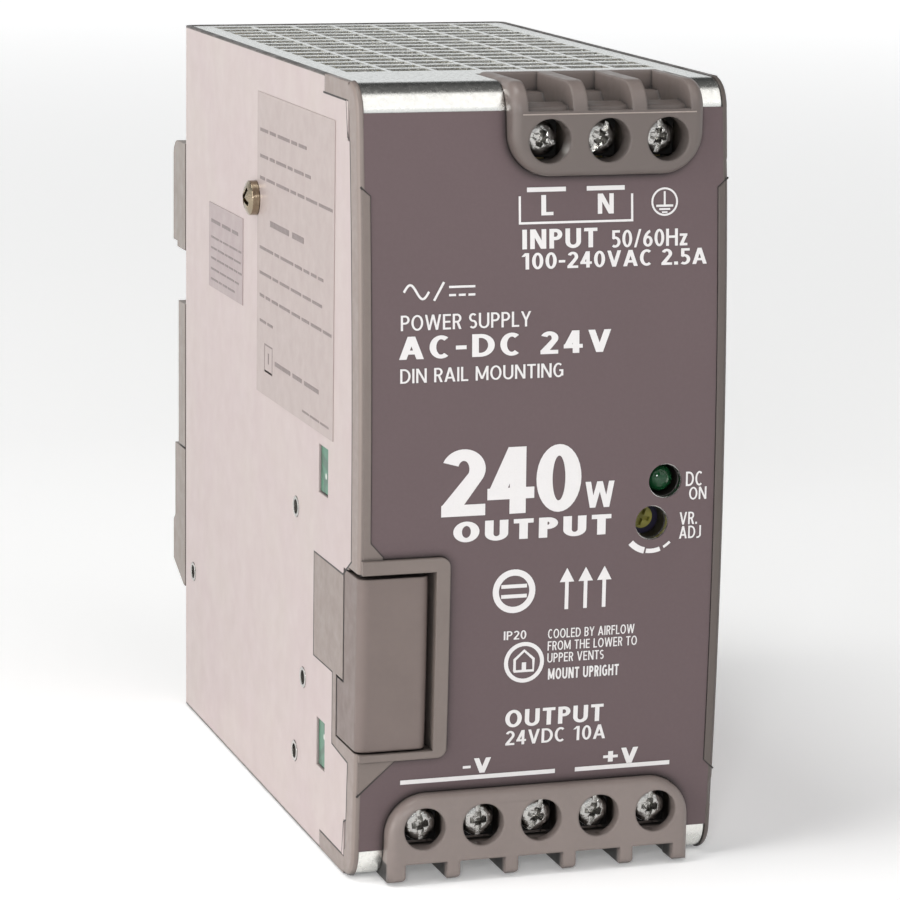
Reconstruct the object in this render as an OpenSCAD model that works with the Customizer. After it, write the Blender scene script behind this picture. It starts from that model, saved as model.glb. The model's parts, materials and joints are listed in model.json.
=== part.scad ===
// DIN rail power supply: a folded sheet metal case with a bowed front, screw
// terminals at its top and bottom, and a sprung clip for a 35 mm rail behind.
// The case is drawn from its front bottom edge: x runs across it, y goes from
// front to rear and z up. Each node is then set down with the origin in the
// middle of the rail seat.

/* [Case] */
// Width of the case
case_w = 60; // [60:0.5:62]
// Height of the case
case_h = 125; // [125:0.5:127]
// Depth of the sheet metal, from the front to the rear sheet
case_d = 113.6; // [113.6:0.2:116]
// Thickness of the folded sheet
sheet_t = 1; // [0.8:0.1:1]
// Radius of the bowed front
bow_r = 655; // [600:5:750]
// Height of the most forward point of the bow
bow_z = 56; // [52:1:60]
// Radius of the rolls at the top and the bottom of the front
roll_r = 5; // [4.5:0.1:5.5]
// Depth of the plastic edge that frames the front
seam_d = 4.2; // [3.8:0.1:4.6]

/* [Grille] */
// Length of a cooling slot across the case
slot_len = 6.6; // [5:0.1:6.6]
// Width of a cooling slot, front to rear
slot_w = 4; // [3:0.1:4.4]
// Distance between slots across the case
slot_pitch_x = 7.43; // [7.2:0.01:7.5]
// Distance between slots, front to rear
slot_pitch_y = 5.79; // [5.4:0.01:5.79]

/* [Terminals] */
// Distance between neighbouring terminals
pole_pitch = 9.6; // [9.5:0.1:9.7]
// Radius of a screwdriver hole
hole_r = 3.4; // [3.2:0.1:3.5]
// Radius of a screw head
head_r = 2.75; // [2.5:0.05:2.9]
// Radius of a screw shaft
shaft_r = 1.7; // [1.5:0.05:1.7]
// Clearance between a screw shaft and the hole that it turns in
shaft_fit = 0.06; // [0.03:0.01:0.09]

/* [Rail clip] */
// Width of the rail
rail_w = 35; // [35:0.1:35.3]
// Height of the rail's centre line above the bottom of the case
rail_z = 66.5; // [66:0.5:67]
// How far the rail seat stands behind the rear sheet
seat_out = 5; // [5:0.1:6]
// How far the upper lip reaches over the rail's edge
lip_grip = 2.5; // [2:0.1:3]

/* [Hidden] */
$fn = 48;
bow_fn = 720;
half_w = case_w / 2;
seat_y = case_d + seat_out;
gap = 0.1;

// Layers of the front, as depths behind its outermost surface
overlay_d = 0.3;
plate_d = overlay_d + sheet_t;
back_d = plate_d + 0.05;
backplate_d = 2.6;

// Cooling slots
slot_columns = 7;
slot_rows = 15;
bottom_rows = 13;
slot_rear_y = case_d - 4.1;

// Terminal blocks: the outer sizes of each housing
block_fillet = 1.5;
block_corner = 6.5;
fin_t = 2.4;
channel_w = pole_pitch - fin_t;
input_x = 9.2;
input_face = -0.4;
input_bottom = 110.6;
input_hole_z = 116.1;
input_wall_top = 121.2;
input_roll = 4.5;
input_back = 18.4;
input_side = 15.6;
output_x = 0;
output_face = -1.3;
output_top = 14.2;
output_hole_z = 9;
output_wall_bottom = 3.4;
output_fin_bottom = 0.4;
output_tooth_w = 2.1;
output_back = 18.4;
output_side = 25;
input_recess = 4.2;
output_recess = 2.6;

// Parts of one terminal, as depths behind its screw head's front
head_h = 2.1;
clamp_at = head_h + 0.1;
clamp_t = 1.2;
clamp_w = channel_w - 1;
clamp_h = 6.2;
bar_at = clamp_at + clamp_t + 0.5;
bar_t = 1.4;
screw_travel = 2.4;
pocket_at = clamp_at - screw_travel - 0.3;
chamber_at = head_h - 0.1;
chamber_end = bar_at + bar_t + 2.6;
shaft_end = bar_at + bar_t + 4.6;
bar_w = channel_w - 0.4;

// Lamp and trimmer
led_x = 19.9;
led_z = 62.3;
trim_x = 17.8;
trim_z = 55.7;
window_r = 2.65;
board_y = 9;

// Option port in the left front edge
port_right = -15.5;
port_top = 52.2;
port_bottom = 20;
port_rim = 1.5;
cover_right = -18.5;
cover_top = 49.2;
cover_bottom = 21.5;
cover_side_y = 8.2;
cover_ear_y = 11.9;
cover_ear_z = 31;
cover_gap = 0.8;

// Upright stiles of the moulded edge, whose ends lie flat on the top and bottom
stile_t = 3;
stile_top_y = 21.2;
stile_bottom_y = 20.9;
stile_end = 9.1;
stile_top_front = 8.3;
stile_bottom_front = 7.2;

// Slots in the left side: front edge, bottom edge, depth and height of each
side_slots = [[17.6, 58.4, 5.4, 7.8], [18.4, 13.5, 4.8, 8]];

// Rail clip
rail_top = rail_z + rail_w / 2;
rail_bottom = rail_z - rail_w / 2;
throat = 1.3;
hook_back = seat_y + 3.9;
hook_top = 103.5;
base_back = case_d + 2.6;
latch_w = 24;
latch_front = base_back + 0.3;
latch_back = seat_y + 1;
spring_r = 1.5;
spring_wire = 0.3;
spring_bottom = 28.4;
spring_top = 42;
bracket_screw_x = 21;
bracket_screw_z = [93, 33];

// Holes in the folded sheet
standoff_hole_r = 1.75;
side_screw_hole_r = 1.6;
bracket_hole_r = 1.5;

// Main board, standing beside the left side
board_x = -25.6;
board_t = 1.6;
tab_sunk = 0.35;
tab_gap = 0.25;
standoff_at = [[36.3, 53.2], [31.5, 25.8], [36.4, 12.1], [106.2, 26.4]];

// Screw in the left side and the labels beside it
side_screw = [62.5, 100.3];
side_head_r = 2.9;
label_t = 0.12;

// Draws in the case's own coordinates
module in_case() {
    translate([0, -seat_y, -rail_z]) children();
}

// A box between two corners
module block(x0, x1, y0, y1, z0, z1) {
    translate([x0, y0, z0]) cube([x1 - x0, y1 - y0, z1 - z0]);
}

// Sweeps a (depth, height) profile across the case
module across(x0, x1) {
    translate([x0, 0, 0]) rotate([90, 0, 90]) linear_extrude(x1 - x0) children();
}

// Sweeps an (x, height) profile from front to rear
module through(y0, y1) {
    translate([0, y1, 0]) rotate([90, 0, 0]) linear_extrude(y1 - y0) children();
}

// A round bar from front to rear
module rod(x, z, r, y0, y1) {
    translate([x, y1, z]) rotate([90, 0, 0]) cylinder(r = r, h = y1 - y0);
}

// A round bar across the case
module cross_rod(y, z, r, x0, x1) {
    translate([x0, y, z]) rotate([0, 90, 0]) cylinder(r = r, h = x1 - x0);
}

// All that lies behind the bowed surface at some depth
module behind_bow(depth) {
    translate([-half_w - 5, bow_r, bow_z]) rotate([0, 90, 0])
        cylinder(r = bow_r - depth, h = case_w + 10, $fn = bow_fn);
}

// A layer of the front between two depths, cut to an (x, height) outline
module bow_layer(d0, d1) {
    difference() {
        intersection() {
            through(-6, 25) children();
            behind_bow(d0);
        }
        behind_bow(d1);
    }
}

// Centres of the rolls, which touch the top or the bottom and meet the bow with
// a hair's breadth to spare, so that their arcs cross it clearly
roll_proud = 0.015;
function roll_y(rise) = bow_r - sqrt(pow(bow_r - roll_r, 2) - pow(rise, 2)) - roll_proud;
top_roll = [roll_y(case_h - roll_r - bow_z), case_h - roll_r];
bottom_roll = [roll_y(bow_z - roll_r), roll_r];
top_angle = asin((case_h - roll_r - bow_z) / (bow_r - roll_r));
bottom_angle = asin((bow_z - roll_r) / (bow_r - roll_r));
overlay_top = bow_z + bow_r * sin(top_angle);
overlay_bottom = bow_z - bow_r * sin(bottom_angle) + 0.5;

// Side view of the case, drawn in by some inset at its front, top and bottom
module side_view(inset) {
    reach = 12;
    ahead_top = top_roll + reach * [-cos(top_angle), sin(top_angle)];
    ahead_bottom = bottom_roll - reach * [cos(bottom_angle), sin(bottom_angle)];
    intersection() {
        translate([bow_r, bow_z]) circle(r = bow_r - inset, $fn = bow_fn);
        polygon([top_roll, ahead_top, ahead_bottom, bottom_roll, [case_d / 2, bow_z]]);
    }
    translate(top_roll) circle(r = roll_r - inset);
    translate(bottom_roll) circle(r = roll_r - inset);
    translate([top_roll.x, bow_z]) square([case_d - top_roll.x, case_h - inset - bow_z]);
    translate([bottom_roll.x, inset]) square([case_d - bottom_roll.x, bow_z + 1 - inset]);
}

// Cross section of a lip from x0 to x1 with rounded outer edges, going inward from 0
module lip_section(x0, x1, fillet, depth) {
    translate([x0, fillet]) square([x1 - x0, depth - fillet]);
    translate([x0 + fillet, 0]) square([x1 - x0 - 2 * fillet, fillet]);
    for (x = [x0 + fillet, x1 - fillet]) translate([x, fillet]) circle(r = fillet);
}

// Turns a lip section about an axis across the case, from one angle above
// straight ahead to another
module turn_about(centre, radius, from, to, fn) {
    translate([0, centre.x, centre.y]) rotate([0, 90, 0]) rotate([0, 0, -90 - to])
        rotate_extrude(angle = to - from, $fn = fn) translate([radius, 0]) rotate(90) children();
}

// Outline of the input terminals' housing, which is open at the top
module input_outline(grow) {
    x0 = input_x - input_side;
    x1 = input_x + input_side;
    corner_z = input_bottom + block_corner;
    translate([x0 - grow, corner_z]) square([x1 - x0 + 2 * grow, 30]);
    translate([x0 + block_corner, input_bottom - grow])
        square([x1 - x0 - 2 * block_corner, block_corner + grow]);
    for (x = [x0 + block_corner, x1 - block_corner])
        translate([x, corner_z]) circle(r = block_corner + grow);
}

// Outline of the output terminals' housing, which is open at the bottom
module output_outline(grow) {
    x0 = output_x - output_side;
    x1 = output_x + output_side;
    corner_z = output_top - block_corner;
    translate([x0 - grow, corner_z - 30]) square([x1 - x0 + 2 * grow, 30]);
    translate([x0 + block_corner, corner_z])
        square([x1 - x0 - 2 * block_corner, block_corner + grow]);
    for (x = [x0 + block_corner, x1 - block_corner])
        translate([x, corner_z]) circle(r = block_corner + grow);
}

// Outline of the raised rim round the option port
module port_outline(grow) {
    translate([-half_w - 1, port_bottom - grow])
        square([port_right + half_w + 1 - port_rim, port_top - port_bottom + 2 * grow]);
    translate([port_right - port_rim - 0.1, port_bottom + port_rim])
        square([port_rim + 0.1 + grow, port_top - port_bottom - 2 * port_rim]);
    for (z = [port_bottom + port_rim, port_top - port_rim])
        translate([port_right - port_rim, z]) circle(r = port_rim + grow);
}

// Outline of the opening inside that rim
module port_opening() {
    translate([-half_w - 2, cover_bottom - 0.3])
        square([cover_right + cover_gap + half_w + 2, cover_top - cover_bottom + cover_gap + 0.3]);
}

// Side view of the tab that reaches round onto the left side below the stile
module tab_outline(front, grow) {
    polygon([
        [front, 51.2 + grow], [3.9, 51.2 + grow], [8.8, 48.1 + grow],
        [25.3 + grow, 48.1 + grow], [25.3 + grow, 31.2 - grow],
        [14.2 + grow, 31.2 - grow], [14.2 + grow, 19.5 - grow],
        [5.4, 18.8 - grow], [front, 18.8 - grow]
    ]);
}

// Light strips along the front's two upright edges
module edge_strips(grow) {
    strip_x = 28.2;
    right_end = 14.5;
    left_end = 52;
    strip_top = 109.6;
    for (side = [-1, 1]) {
        low = side < 0 ? left_end : right_end;
        rise = side < 0 ? 0 : 1.6;
        scale([side, 1]) polygon([
            [strip_x - grow, low + rise],
            [half_w, low],
            [half_w, strip_top + grow],
            [strip_x - grow, strip_top - 1.5 + grow]
        ]);
    }
    polygon([
        [-half_w, 50], [-26.2 + grow, 50], [-26.2 + grow, 52.6],
        [-strip_x + grow, 54.9], [-half_w, 54.9]
    ]);
    polygon([[-half_w, 14.2 - grow], [-23.8 + grow, 19.7], [-23.8 + grow, 21], [-half_w, 21]]);
}

// Screw hole places along each terminal block
function input_pole(i) = input_x + (i - 2) * pole_pitch;
function output_pole(i) = output_x + (i - 3) * pole_pitch;

// Holes through which the front shows its lamp and trimmer
module windows(grow) {
    translate([led_x, led_z]) circle(r = window_r + grow);
    translate([trim_x, trim_z]) circle(r = window_r + grow);
}

// One rectangular field of cooling slots, seen from above
module slots(rows) {
    for (column = [0 : slot_columns - 1], row = [0 : rows - 1]) {
        x = (column - (slot_columns - 1) / 2) * slot_pitch_x;
        y = slot_rear_y - row * slot_pitch_y;
        translate([x - slot_len / 2, y - slot_w]) square([slot_len, slot_w]);
    }
}

// Side, rear and side of the case, folded from one sheet
module chassis() {
    bend = 1.8;
    module plan(inset) {
        corner = bend - inset;
        side_x = half_w - inset;
        rear_y = case_d - inset;
        translate([-side_x, -10]) square([2 * side_x, rear_y - corner + 10]);
        translate([-side_x + corner, 0]) square([2 * (side_x - corner), rear_y]);
        for (side = [-1, 1])
            translate([side * (side_x - corner), rear_y - corner]) circle(r = corner);
    }
    in_case() color("gainsboro") difference() {
        intersection() {
            linear_extrude(case_h) difference() {
                plan(0);
                plan(sheet_t);
            }
            across(-half_w, half_w) difference() {
                intersection() {
                    side_view(0.2);
                    translate([bow_r, bow_z]) circle(r = bow_r - seam_d - gap, $fn = bow_fn);
                }
                // notches for the stiles' rolled ends
                translate([-5, case_h - stile_t - gap]) square([5 + stile_top_y + gap, 10]);
                translate([-5, -5]) square([5 + stile_bottom_y + gap, 5 + stile_t + gap]);
                translate([-5, case_h - stile_end]) square([5 + stile_top_front, stile_end]);
                translate([-5, 0]) square([5 + stile_bottom_front, stile_end]);
            }
        }
        across(-half_w - 1, -half_w + sheet_t + 1) {
            tab_outline(0, gap);
            translate([0, cover_bottom])
                square([cover_side_y + 2 * gap, cover_top - cover_bottom + 2 * gap]);
            for (slot = side_slots) translate([slot[0], slot[1]]) square([slot[2], slot[3]]);
        }
        for (at = standoff_at)
            cross_rod(at.x, at.y, standoff_hole_r, -half_w - 1, -half_w + 2);
        cross_rod(side_screw.x, side_screw.y, side_screw_hole_r, -half_w - 1, -half_w + 2);
        for (side = [-1, 1], z = bracket_screw_z)
            rod(side * bracket_screw_x, z, bracket_hole_r, case_d - 3, case_d + 1);
    }
}

// Top grille, front plate and bottom grille, rolled from one bright sheet
module front_cover() {
    cover_side = half_w - sheet_t - gap;
    in_case() color("silver") difference() {
        across(-cover_side, cover_side) difference() {
            side_view(overlay_d);
            side_view(plate_d);
            translate([case_d - sheet_t - gap, -1]) square([10, case_h + 2]);
        }
        translate([0, 0, case_h - 5]) linear_extrude(10) slots(slot_rows);
        translate([0, 0, -5]) linear_extrude(10) slots(bottom_rows);
        through(-5, input_back + gap) input_outline(gap);
        through(-5, output_back + gap) output_outline(gap);
        through(-5, 7.4) port_outline(gap);
        through(-5, 7) windows(0);
    }
}

// Dark printed film on the front plate
module face_overlay() {
    film_side = half_w - 0.95;
    in_case() color("dimgray") bow_layer(0, overlay_d - 0.02) difference() {
        translate([-film_side, overlay_bottom]) square([2 * film_side, overlay_top - overlay_bottom]);
        input_outline(gap);
        output_outline(gap);
        port_outline(gap);
        edge_strips(gap);
        windows(0.1);
    }
}

// Moulded edge of the front with the side tabs and the rim of the option port
module front_bezel() {
    skin = 1;
    module skin_section(side) {
        edge = side < 0 ? -half_w : half_w - skin - 0.9;
        intersection() {
            lip_section(edge, edge + skin + 0.9, 0.9, seam_d);
            translate([side < 0 ? -half_w : half_w - skin, -1]) square([skin, seam_d + 1]);
        }
    }
    module stile(side) {
        turn_about([bow_r, bow_z], bow_r, -bottom_angle, top_angle, bow_fn) skin_section(side);
        turn_about(top_roll, roll_r, top_angle, 90, $fn) skin_section(side);
        turn_about(bottom_roll, roll_r, -90, -bottom_angle, $fn) skin_section(side);
        x0 = side < 0 ? -half_w : half_w - skin;
        block(x0, x0 + skin, top_roll.x, stile_top_y, case_h - stile_t, case_h - 0.2);
        block(x0, x0 + skin, bottom_roll.x, stile_bottom_y, 0.2, stile_t);
    }
    module side_tab() {
        across(-half_w, -half_w + skin + 0.1) tab_outline(2, 0);
    }
    in_case() color("#8b8078") difference() {
        union() {
            for (side = [-1, 1]) stile(side);
            side_tab();
            bow_layer(back_d, backplate_d) translate([-half_w + skin / 2, 16])
                square([2 * half_w - skin, 93]);
            // gussets that tie the rolled ends to the straight edge
            for (side = [-1, 1]) scale([side, 1, 1]) across(half_w - skin - 0.7, half_w - 0.6) {
                translate([top_roll.x - 2.8, top_roll.y - 4]) square([2.6, 6]);
                translate([bottom_roll.x - 2.8, bottom_roll.y - 2]) square([2.6, 6]);
            }
            bow_layer(-0.15, overlay_d - 0.02) difference() {
                edge_strips(0);
                translate([half_w - 0.6, 0]) square([2, case_h]);
                translate([-half_w - 1.4, 0]) square([2, case_h]);
            }
            bow_layer(-0.9, 2) intersection() {
                port_outline(0);
                translate([-half_w + 0.4, 0]) square([50, case_h]);
            }
            bow_layer(1.8, 6.8) intersection() {
                port_outline(0);
                translate([-half_w + skin + 0.05, 0]) square([50, case_h]);
            }
            for (at = [[led_x, led_z], [trim_x, trim_z]])
                rod(at.x, at.y, window_r + 1, 2, 4.4);
        }
        bow_layer(-2, 5.6) intersection() {
            port_opening();
            translate([-half_w - 2, 0]) square([50, case_h]);
        }
        across(-half_w - 1, -half_w + skin + 0.8) {
            translate([-5, cover_ear_z - 0.2])
                square([cover_side_y + 5.25, cover_top - cover_ear_z + 0.5]);
            translate([-5, cover_bottom - 0.3])
                square([cover_ear_y + 5.3, cover_ear_z - cover_bottom + 0.6]);
        }
        for (z = [28, 42]) block(-25.4, -20.6, 4, 9, z - 1.1, z + 1.1);
        through(-5, 7) windows(-0.1);
        through(-5, 9) output_outline(gap);
        through(-5, 9) input_outline(gap);
    }
}

// Blanking cover of the option port, which wraps round the left edge
module option_cover() {
    wall = 1.4;
    left = -half_w + 0.05;
    in_case() color("#8f867d") {
        intersection() {
            turn_about([bow_r, bow_z], bow_r + 0.2, -4, 1, bow_fn) difference() {
                lip_section(left, cover_right, 1.6, 14);
                translate([left + wall, 1.8]) square([30, 20]);
            }
            across(-half_w, 0) {
                translate([-3, cover_ear_z]) square([cover_side_y + 3, cover_top - cover_ear_z]);
                translate([-3, cover_bottom]) square([cover_ear_y + 3, cover_ear_z - cover_bottom]);
            }
        }
        for (z = [28, 42]) block(-25, -21, 1.2, 8.2, z - 0.7, z + 0.7);
    }
}

// A terminal block's holes, chambers and slots for its bars, which repeat per pole
module pole_cuts(x, z, face, recess, open_z) {
    head = face + recess;
    rod(x, z, hole_r, face - 3, head + head_h);
    block(x - channel_w / 2, x + channel_w / 2, head + chamber_at, head + chamber_end,
        min(open_z, z - 3.9), max(open_z, z + 3.9));
    // room in front of the plate, so it can follow its screw outward
    block(x - channel_w / 2, x + channel_w / 2, head + pocket_at, head + chamber_at + 0.1,
        z - clamp_h / 2 - 0.3, z + clamp_h / 2 + 0.3);
    rod(x, z, shaft_r + 0.4, head + head_h, head + shaft_end + 0.6);
}

// Housing of the three input terminals, open upward and at its front edge
module input_terminal_block() {
    x0 = input_x - input_side;
    x1 = input_x + input_side;
    corner_z = input_bottom + block_corner;
    roll_z = case_h - input_roll;
    roll_y0 = input_face + input_roll;
    depth = input_back - input_face;
    module section(d) { lip_section(x0, x1, block_fillet, d); }
    module edge_section() {
        translate([0, block_fillet]) square([block_corner, depth - block_fillet]);
        square([block_corner - block_fillet, block_fillet]);
        translate([block_corner - block_fillet, block_fillet])
            intersection() {
                circle(r = block_fillet);
                translate([0, -block_fillet]) square(block_fillet);
            }
    }
    in_case() color("#8b8078") difference() {
        union() {
            translate([0, input_face, corner_z]) linear_extrude(roll_z - corner_z) section(depth);
            turn_about([roll_y0, roll_z], input_roll, 0, 90, $fn) section(input_roll);
            translate([0, input_back, case_h]) rotate([90, 0, 0])
                linear_extrude(input_back - roll_y0) mirror([0, 1]) section(input_roll);
            across(x0 + block_corner, x1 - block_corner)
                translate([input_face, corner_z]) rotate(-90) edge_section();
            translate([x0 + block_corner, input_face, corner_z]) rotate([-90, 0, 0])
                rotate([0, 0, 90]) rotate_extrude(angle = 90) edge_section();
            translate([x1 - block_corner, input_face, corner_z]) rotate([-90, 0, 0])
                rotate_extrude(angle = 90) edge_section();
        }
        for (i = [1 : 3]) {
            x = input_pole(i);
            across(x - channel_w / 2, x + channel_w / 2) polygon([
                [-5, input_wall_top - 0.5], [0.7, input_wall_top - 0.5],
                [1, input_wall_top - 0.9], [1.7, input_wall_top - 0.9],
                [2, input_wall_top - 0.1], [4.6, input_wall_top + 0.3],
                [5.9, input_wall_top + 0.3], [5.9, input_wall_top - 1.4],
                [12, input_wall_top - 1.4],
                [14, input_wall_top + 0.9], [17, input_wall_top + 0.9], [17, case_h + 3],
                [-5, case_h + 3]
            ]);
            pole_cuts(x, input_hole_z, input_face, input_recess, input_wall_top + 1);
            block(x - 2.1, x + 2.1, input_face + input_recess + bar_at, input_back + 1,
                input_hole_z - 4, input_hole_z - 2.5);
        }
    }
}

// Housing of the five output terminals, open downward
module output_terminal_block() {
    x0 = output_x - output_side;
    x1 = output_x + output_side;
    corner_z = output_top - block_corner;
    depth = output_back - output_face;
    fin_r = 1.2;
    end_half_tooth = 1.7;
    module tooth_outline() {
        tooth_top = output_wall_bottom + 0.5;
        translate([output_face + fin_r, output_fin_bottom])
            square([depth - fin_r - 0.5, tooth_top - output_fin_bottom]);
        translate([output_face - 1, output_fin_bottom + fin_r])
            square([fin_r + 1.5, tooth_top - output_fin_bottom - fin_r]);
        translate([output_face + fin_r, output_fin_bottom + fin_r]) circle(r = fin_r);
    }
    module edge_section() {
        translate([0, block_fillet]) square([block_corner, depth - block_fillet]);
        square([block_corner - block_fillet, block_fillet]);
        translate([block_corner - block_fillet, block_fillet])
            intersection() {
                circle(r = block_fillet);
                translate([0, -block_fillet]) square(block_fillet);
            }
    }
    in_case() color("#8b8078") difference() {
        union() {
            translate([0, output_face, output_wall_bottom])
                linear_extrude(corner_z - output_wall_bottom)
                    lip_section(x0, x1, block_fillet, depth);
            across(x0 + block_corner, x1 - block_corner)
                translate([output_face, corner_z]) rotate(90) mirror([0, 1]) edge_section();
            translate([x0 + block_corner, output_face, corner_z]) rotate([-90, 0, 0])
                rotate([0, 0, 180]) rotate_extrude(angle = 90) edge_section();
            translate([x1 - block_corner, output_face, corner_z]) rotate([-90, 0, 0])
                rotate([0, 0, 270]) rotate_extrude(angle = 90) edge_section();
            // teeth between the wire entries, rounded at their lower front edge
            intersection() {
                translate([0, output_face, output_fin_bottom - 1])
                    linear_extrude(output_wall_bottom - output_fin_bottom + 2)
                        lip_section(x0, x1, block_fillet, depth);
                for (i = [0 : 5]) {
                    x = output_x + (i - 2.5) * pole_pitch;
                    half_tooth = i % 5 == 0 ? end_half_tooth : output_tooth_w / 2;
                    across(x - half_tooth, x + half_tooth) tooth_outline();
                }
            }
        }
        for (i = [1 : 5]) {
            x = output_pole(i);
            pole_cuts(x, output_hole_z, output_face, output_recess, -1);
            block(x - 2.1, x + 2.1, output_face + output_recess + bar_at, output_back + 1,
                output_hole_z + 2.5, output_hole_z + 4);
        }
    }
}

// Fixed contact of one terminal: a threaded plate with a tail into the case
module contact_bar(x, z, front, tail_z, tail_y) {
    difference() {
        union() {
            block(x - bar_w / 2, x + bar_w / 2, front, front + bar_t, z - 3.3, z + 3.3);
            block(x - 1.8, x + 1.8, front, tail_y, tail_z - 0.5, tail_z + 0.5);
        }
        rod(x, z, shaft_r + shaft_fit, front - 1, front + bar_t + 1);
    }
}

module input_terminal_bars() {
    in_case() color("goldenrod") for (i = [1 : 3])
        contact_bar(input_pole(i), input_hole_z, input_face + input_recess + bar_at,
            input_hole_z - 3.2, 22);
}

module output_terminal_bars() {
    in_case() color("goldenrod") for (i = [1 : 5])
        contact_bar(output_pole(i), output_hole_z, output_face + output_recess + bar_at,
            output_hole_z + 3.2, 22);
}

// Pressure plate that the screw pushes onto the wire
module clamp_plate(x, z, front) {
    in_case() color("lightgray") difference() {
        block(x - clamp_w / 2, x + clamp_w / 2, front, front + clamp_t,
            z - clamp_h / 2, z + clamp_h / 2);
        rod(x, z, shaft_r + shaft_fit, front - 1, front + clamp_t + 1);
        for (dz = [-1.9, 0, 1.9])
            block(x - clamp_w, x + clamp_w, front + clamp_t - 0.2, front + clamp_t + 1,
                z + dz - 0.25, z + dz + 0.25);
    }
}

// Terminal screw with a slot and a cross in its head
module terminal_screw(x, z, front, angle) {
    head_crown = 6;
    in_case() color("silver") difference() {
        union() {
            intersection() {
                rod(x, z, head_r, front, front + head_h);
                translate([x, front + head_crown, z]) sphere(r = head_crown, $fn = 96);
            }
            rod(x, z, shaft_r, front + head_h, front + shaft_end);
        }
        translate([x, front, z]) rotate([0, angle, 0]) {
            block(-head_r - 1, head_r + 1, -1, 0.9, -0.45, 0.45);
            block(-0.55, 0.55, -1, 1.4, -1.6, 1.6);
            block(-1.6, 1.6, -1, 1.4, -0.55, 0.55);
        }
    }
}

module input_clamp(i) {
    clamp_plate(input_pole(i), input_hole_z, input_face + input_recess + clamp_at);
}

module input_screw(i) {
    terminal_screw(input_pole(i), input_hole_z, input_face + input_recess, 25 * i);
}

module output_clamp(i) {
    clamp_plate(output_pole(i), output_hole_z, output_face + output_recess + clamp_at);
}

module output_screw(i) {
    terminal_screw(output_pole(i), output_hole_z, output_face + output_recess, 90 + 12 * i);
}

// Moulded clip on the rear with the fixed hook and the guides of the latch
module rail_bracket() {
    cheek = half_w - 0.2;
    plate = half_w - 1.7;
    guide = latch_w / 2 + 0.4;
    wing = guide + 2;
    in_case() color("#8b8078") difference() {
        union() {
            block(-plate, plate, case_d, base_back, 22, hook_top);
            // raised seat for the rail, with lower ground under both lips
            block(-26.5, 26.5, base_back, seat_y - 0.2, rail_bottom + 0.2, rail_top + 0.2);
            block(-24, 24, base_back, seat_y, rail_z - 14.7, rail_z + 14.7);
            // fixed hook
            across(-cheek, cheek) {
                translate([case_d, rail_top + 0.2])
                    square([hook_back - 3 - case_d, hook_top - rail_top - 0.2]);
                translate([case_d, rail_top + 1.2])
                    square([hook_back - case_d, hook_top - 3 - rail_top - 1.2]);
                translate([hook_back - 3, hook_top - 3]) circle(r = 3);
            }
            across(-26.5, 26.5) polygon([
                [seat_y + throat, rail_top + 2], [seat_y + throat, rail_top - lip_grip],
                [hook_back - 1.3, rail_top - lip_grip], [hook_back, rail_top - lip_grip + 1.5],
                [hook_back, rail_top + 2]
            ]);
            // side ribs beside the seat and guides beside the latch
            for (side = [-1, 1]) {
                inner = side < 0 ? -cheek : plate - 1;
                block(inner, inner + cheek - plate + 1, case_d, seat_y, rail_bottom - 1, 74.4);
                start = side < 0 ? -cheek : guide;
                across(start, start + cheek - guide) polygon([
                    [case_d, 47.6], [seat_y + 2.6, 47.6], [seat_y + 2.6, 34],
                    [hook_back, 32.8], [hook_back, 25.4], [case_d + 1, 22], [case_d, 22]
                ]);
            }
        }
        // groove for the wings of the latch
        block(-wing, wing, base_back, base_back + 2.3, 10, rail_bottom - 1.6);
        for (side = [-1, 1], z = bracket_screw_z) {
            rod(side * bracket_screw_x, z, 1.6, case_d - 1, case_d + 20);
            rod(side * bracket_screw_x, z, 3.2, base_back + 0.6, case_d + 20);
        }
    }
    // shelf that carries the spring
    in_case() color("#8b8078")
        block(-2.6, 2.6, case_d + 1, seat_y + 0.6, spring_bottom - 2, spring_bottom);
}

// Sprung slider that grips the lower edge of the rail
module rail_latch() {
    body = latch_w / 2;
    in_case() color("#7d736b") difference() {
        union() {
            block(-body, body, latch_front, latch_back, 12, rail_bottom - 0.3);
            for (side = [-1, 1])
                block(side < 0 ? -body - 1.9 : 0, side < 0 ? 0 : body + 1.9, latch_front,
                    latch_front + 1.6, 26, rail_bottom - 2);
            across(-body + 1, body - 1) polygon([
                [latch_back - 1, 44], [latch_back - 1, rail_bottom - 0.3],
                [seat_y + throat, rail_bottom - 0.3], [seat_y + throat, rail_bottom + 2.2],
                [seat_y + throat + 0.8, rail_bottom + 2.2], [hook_back - 0.2, rail_bottom - 0.4],
                [hook_back - 0.2, 44], [latch_back, 42]
            ]);
            // pull tab at the lower end
            across(-body, body) polygon([
                [latch_back - 1, 12], [hook_back - 0.6, 12], [hook_back - 0.6, 14.5],
                [latch_back - 1, 17.5]
            ]);
        }
        block(-3, 3, latch_front - 1, hook_back + 1, 22, spring_top);
        block(-3.2, 3.2, latch_front + 1.4, latch_front + 3, 11, 16.5);
    }
}

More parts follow.
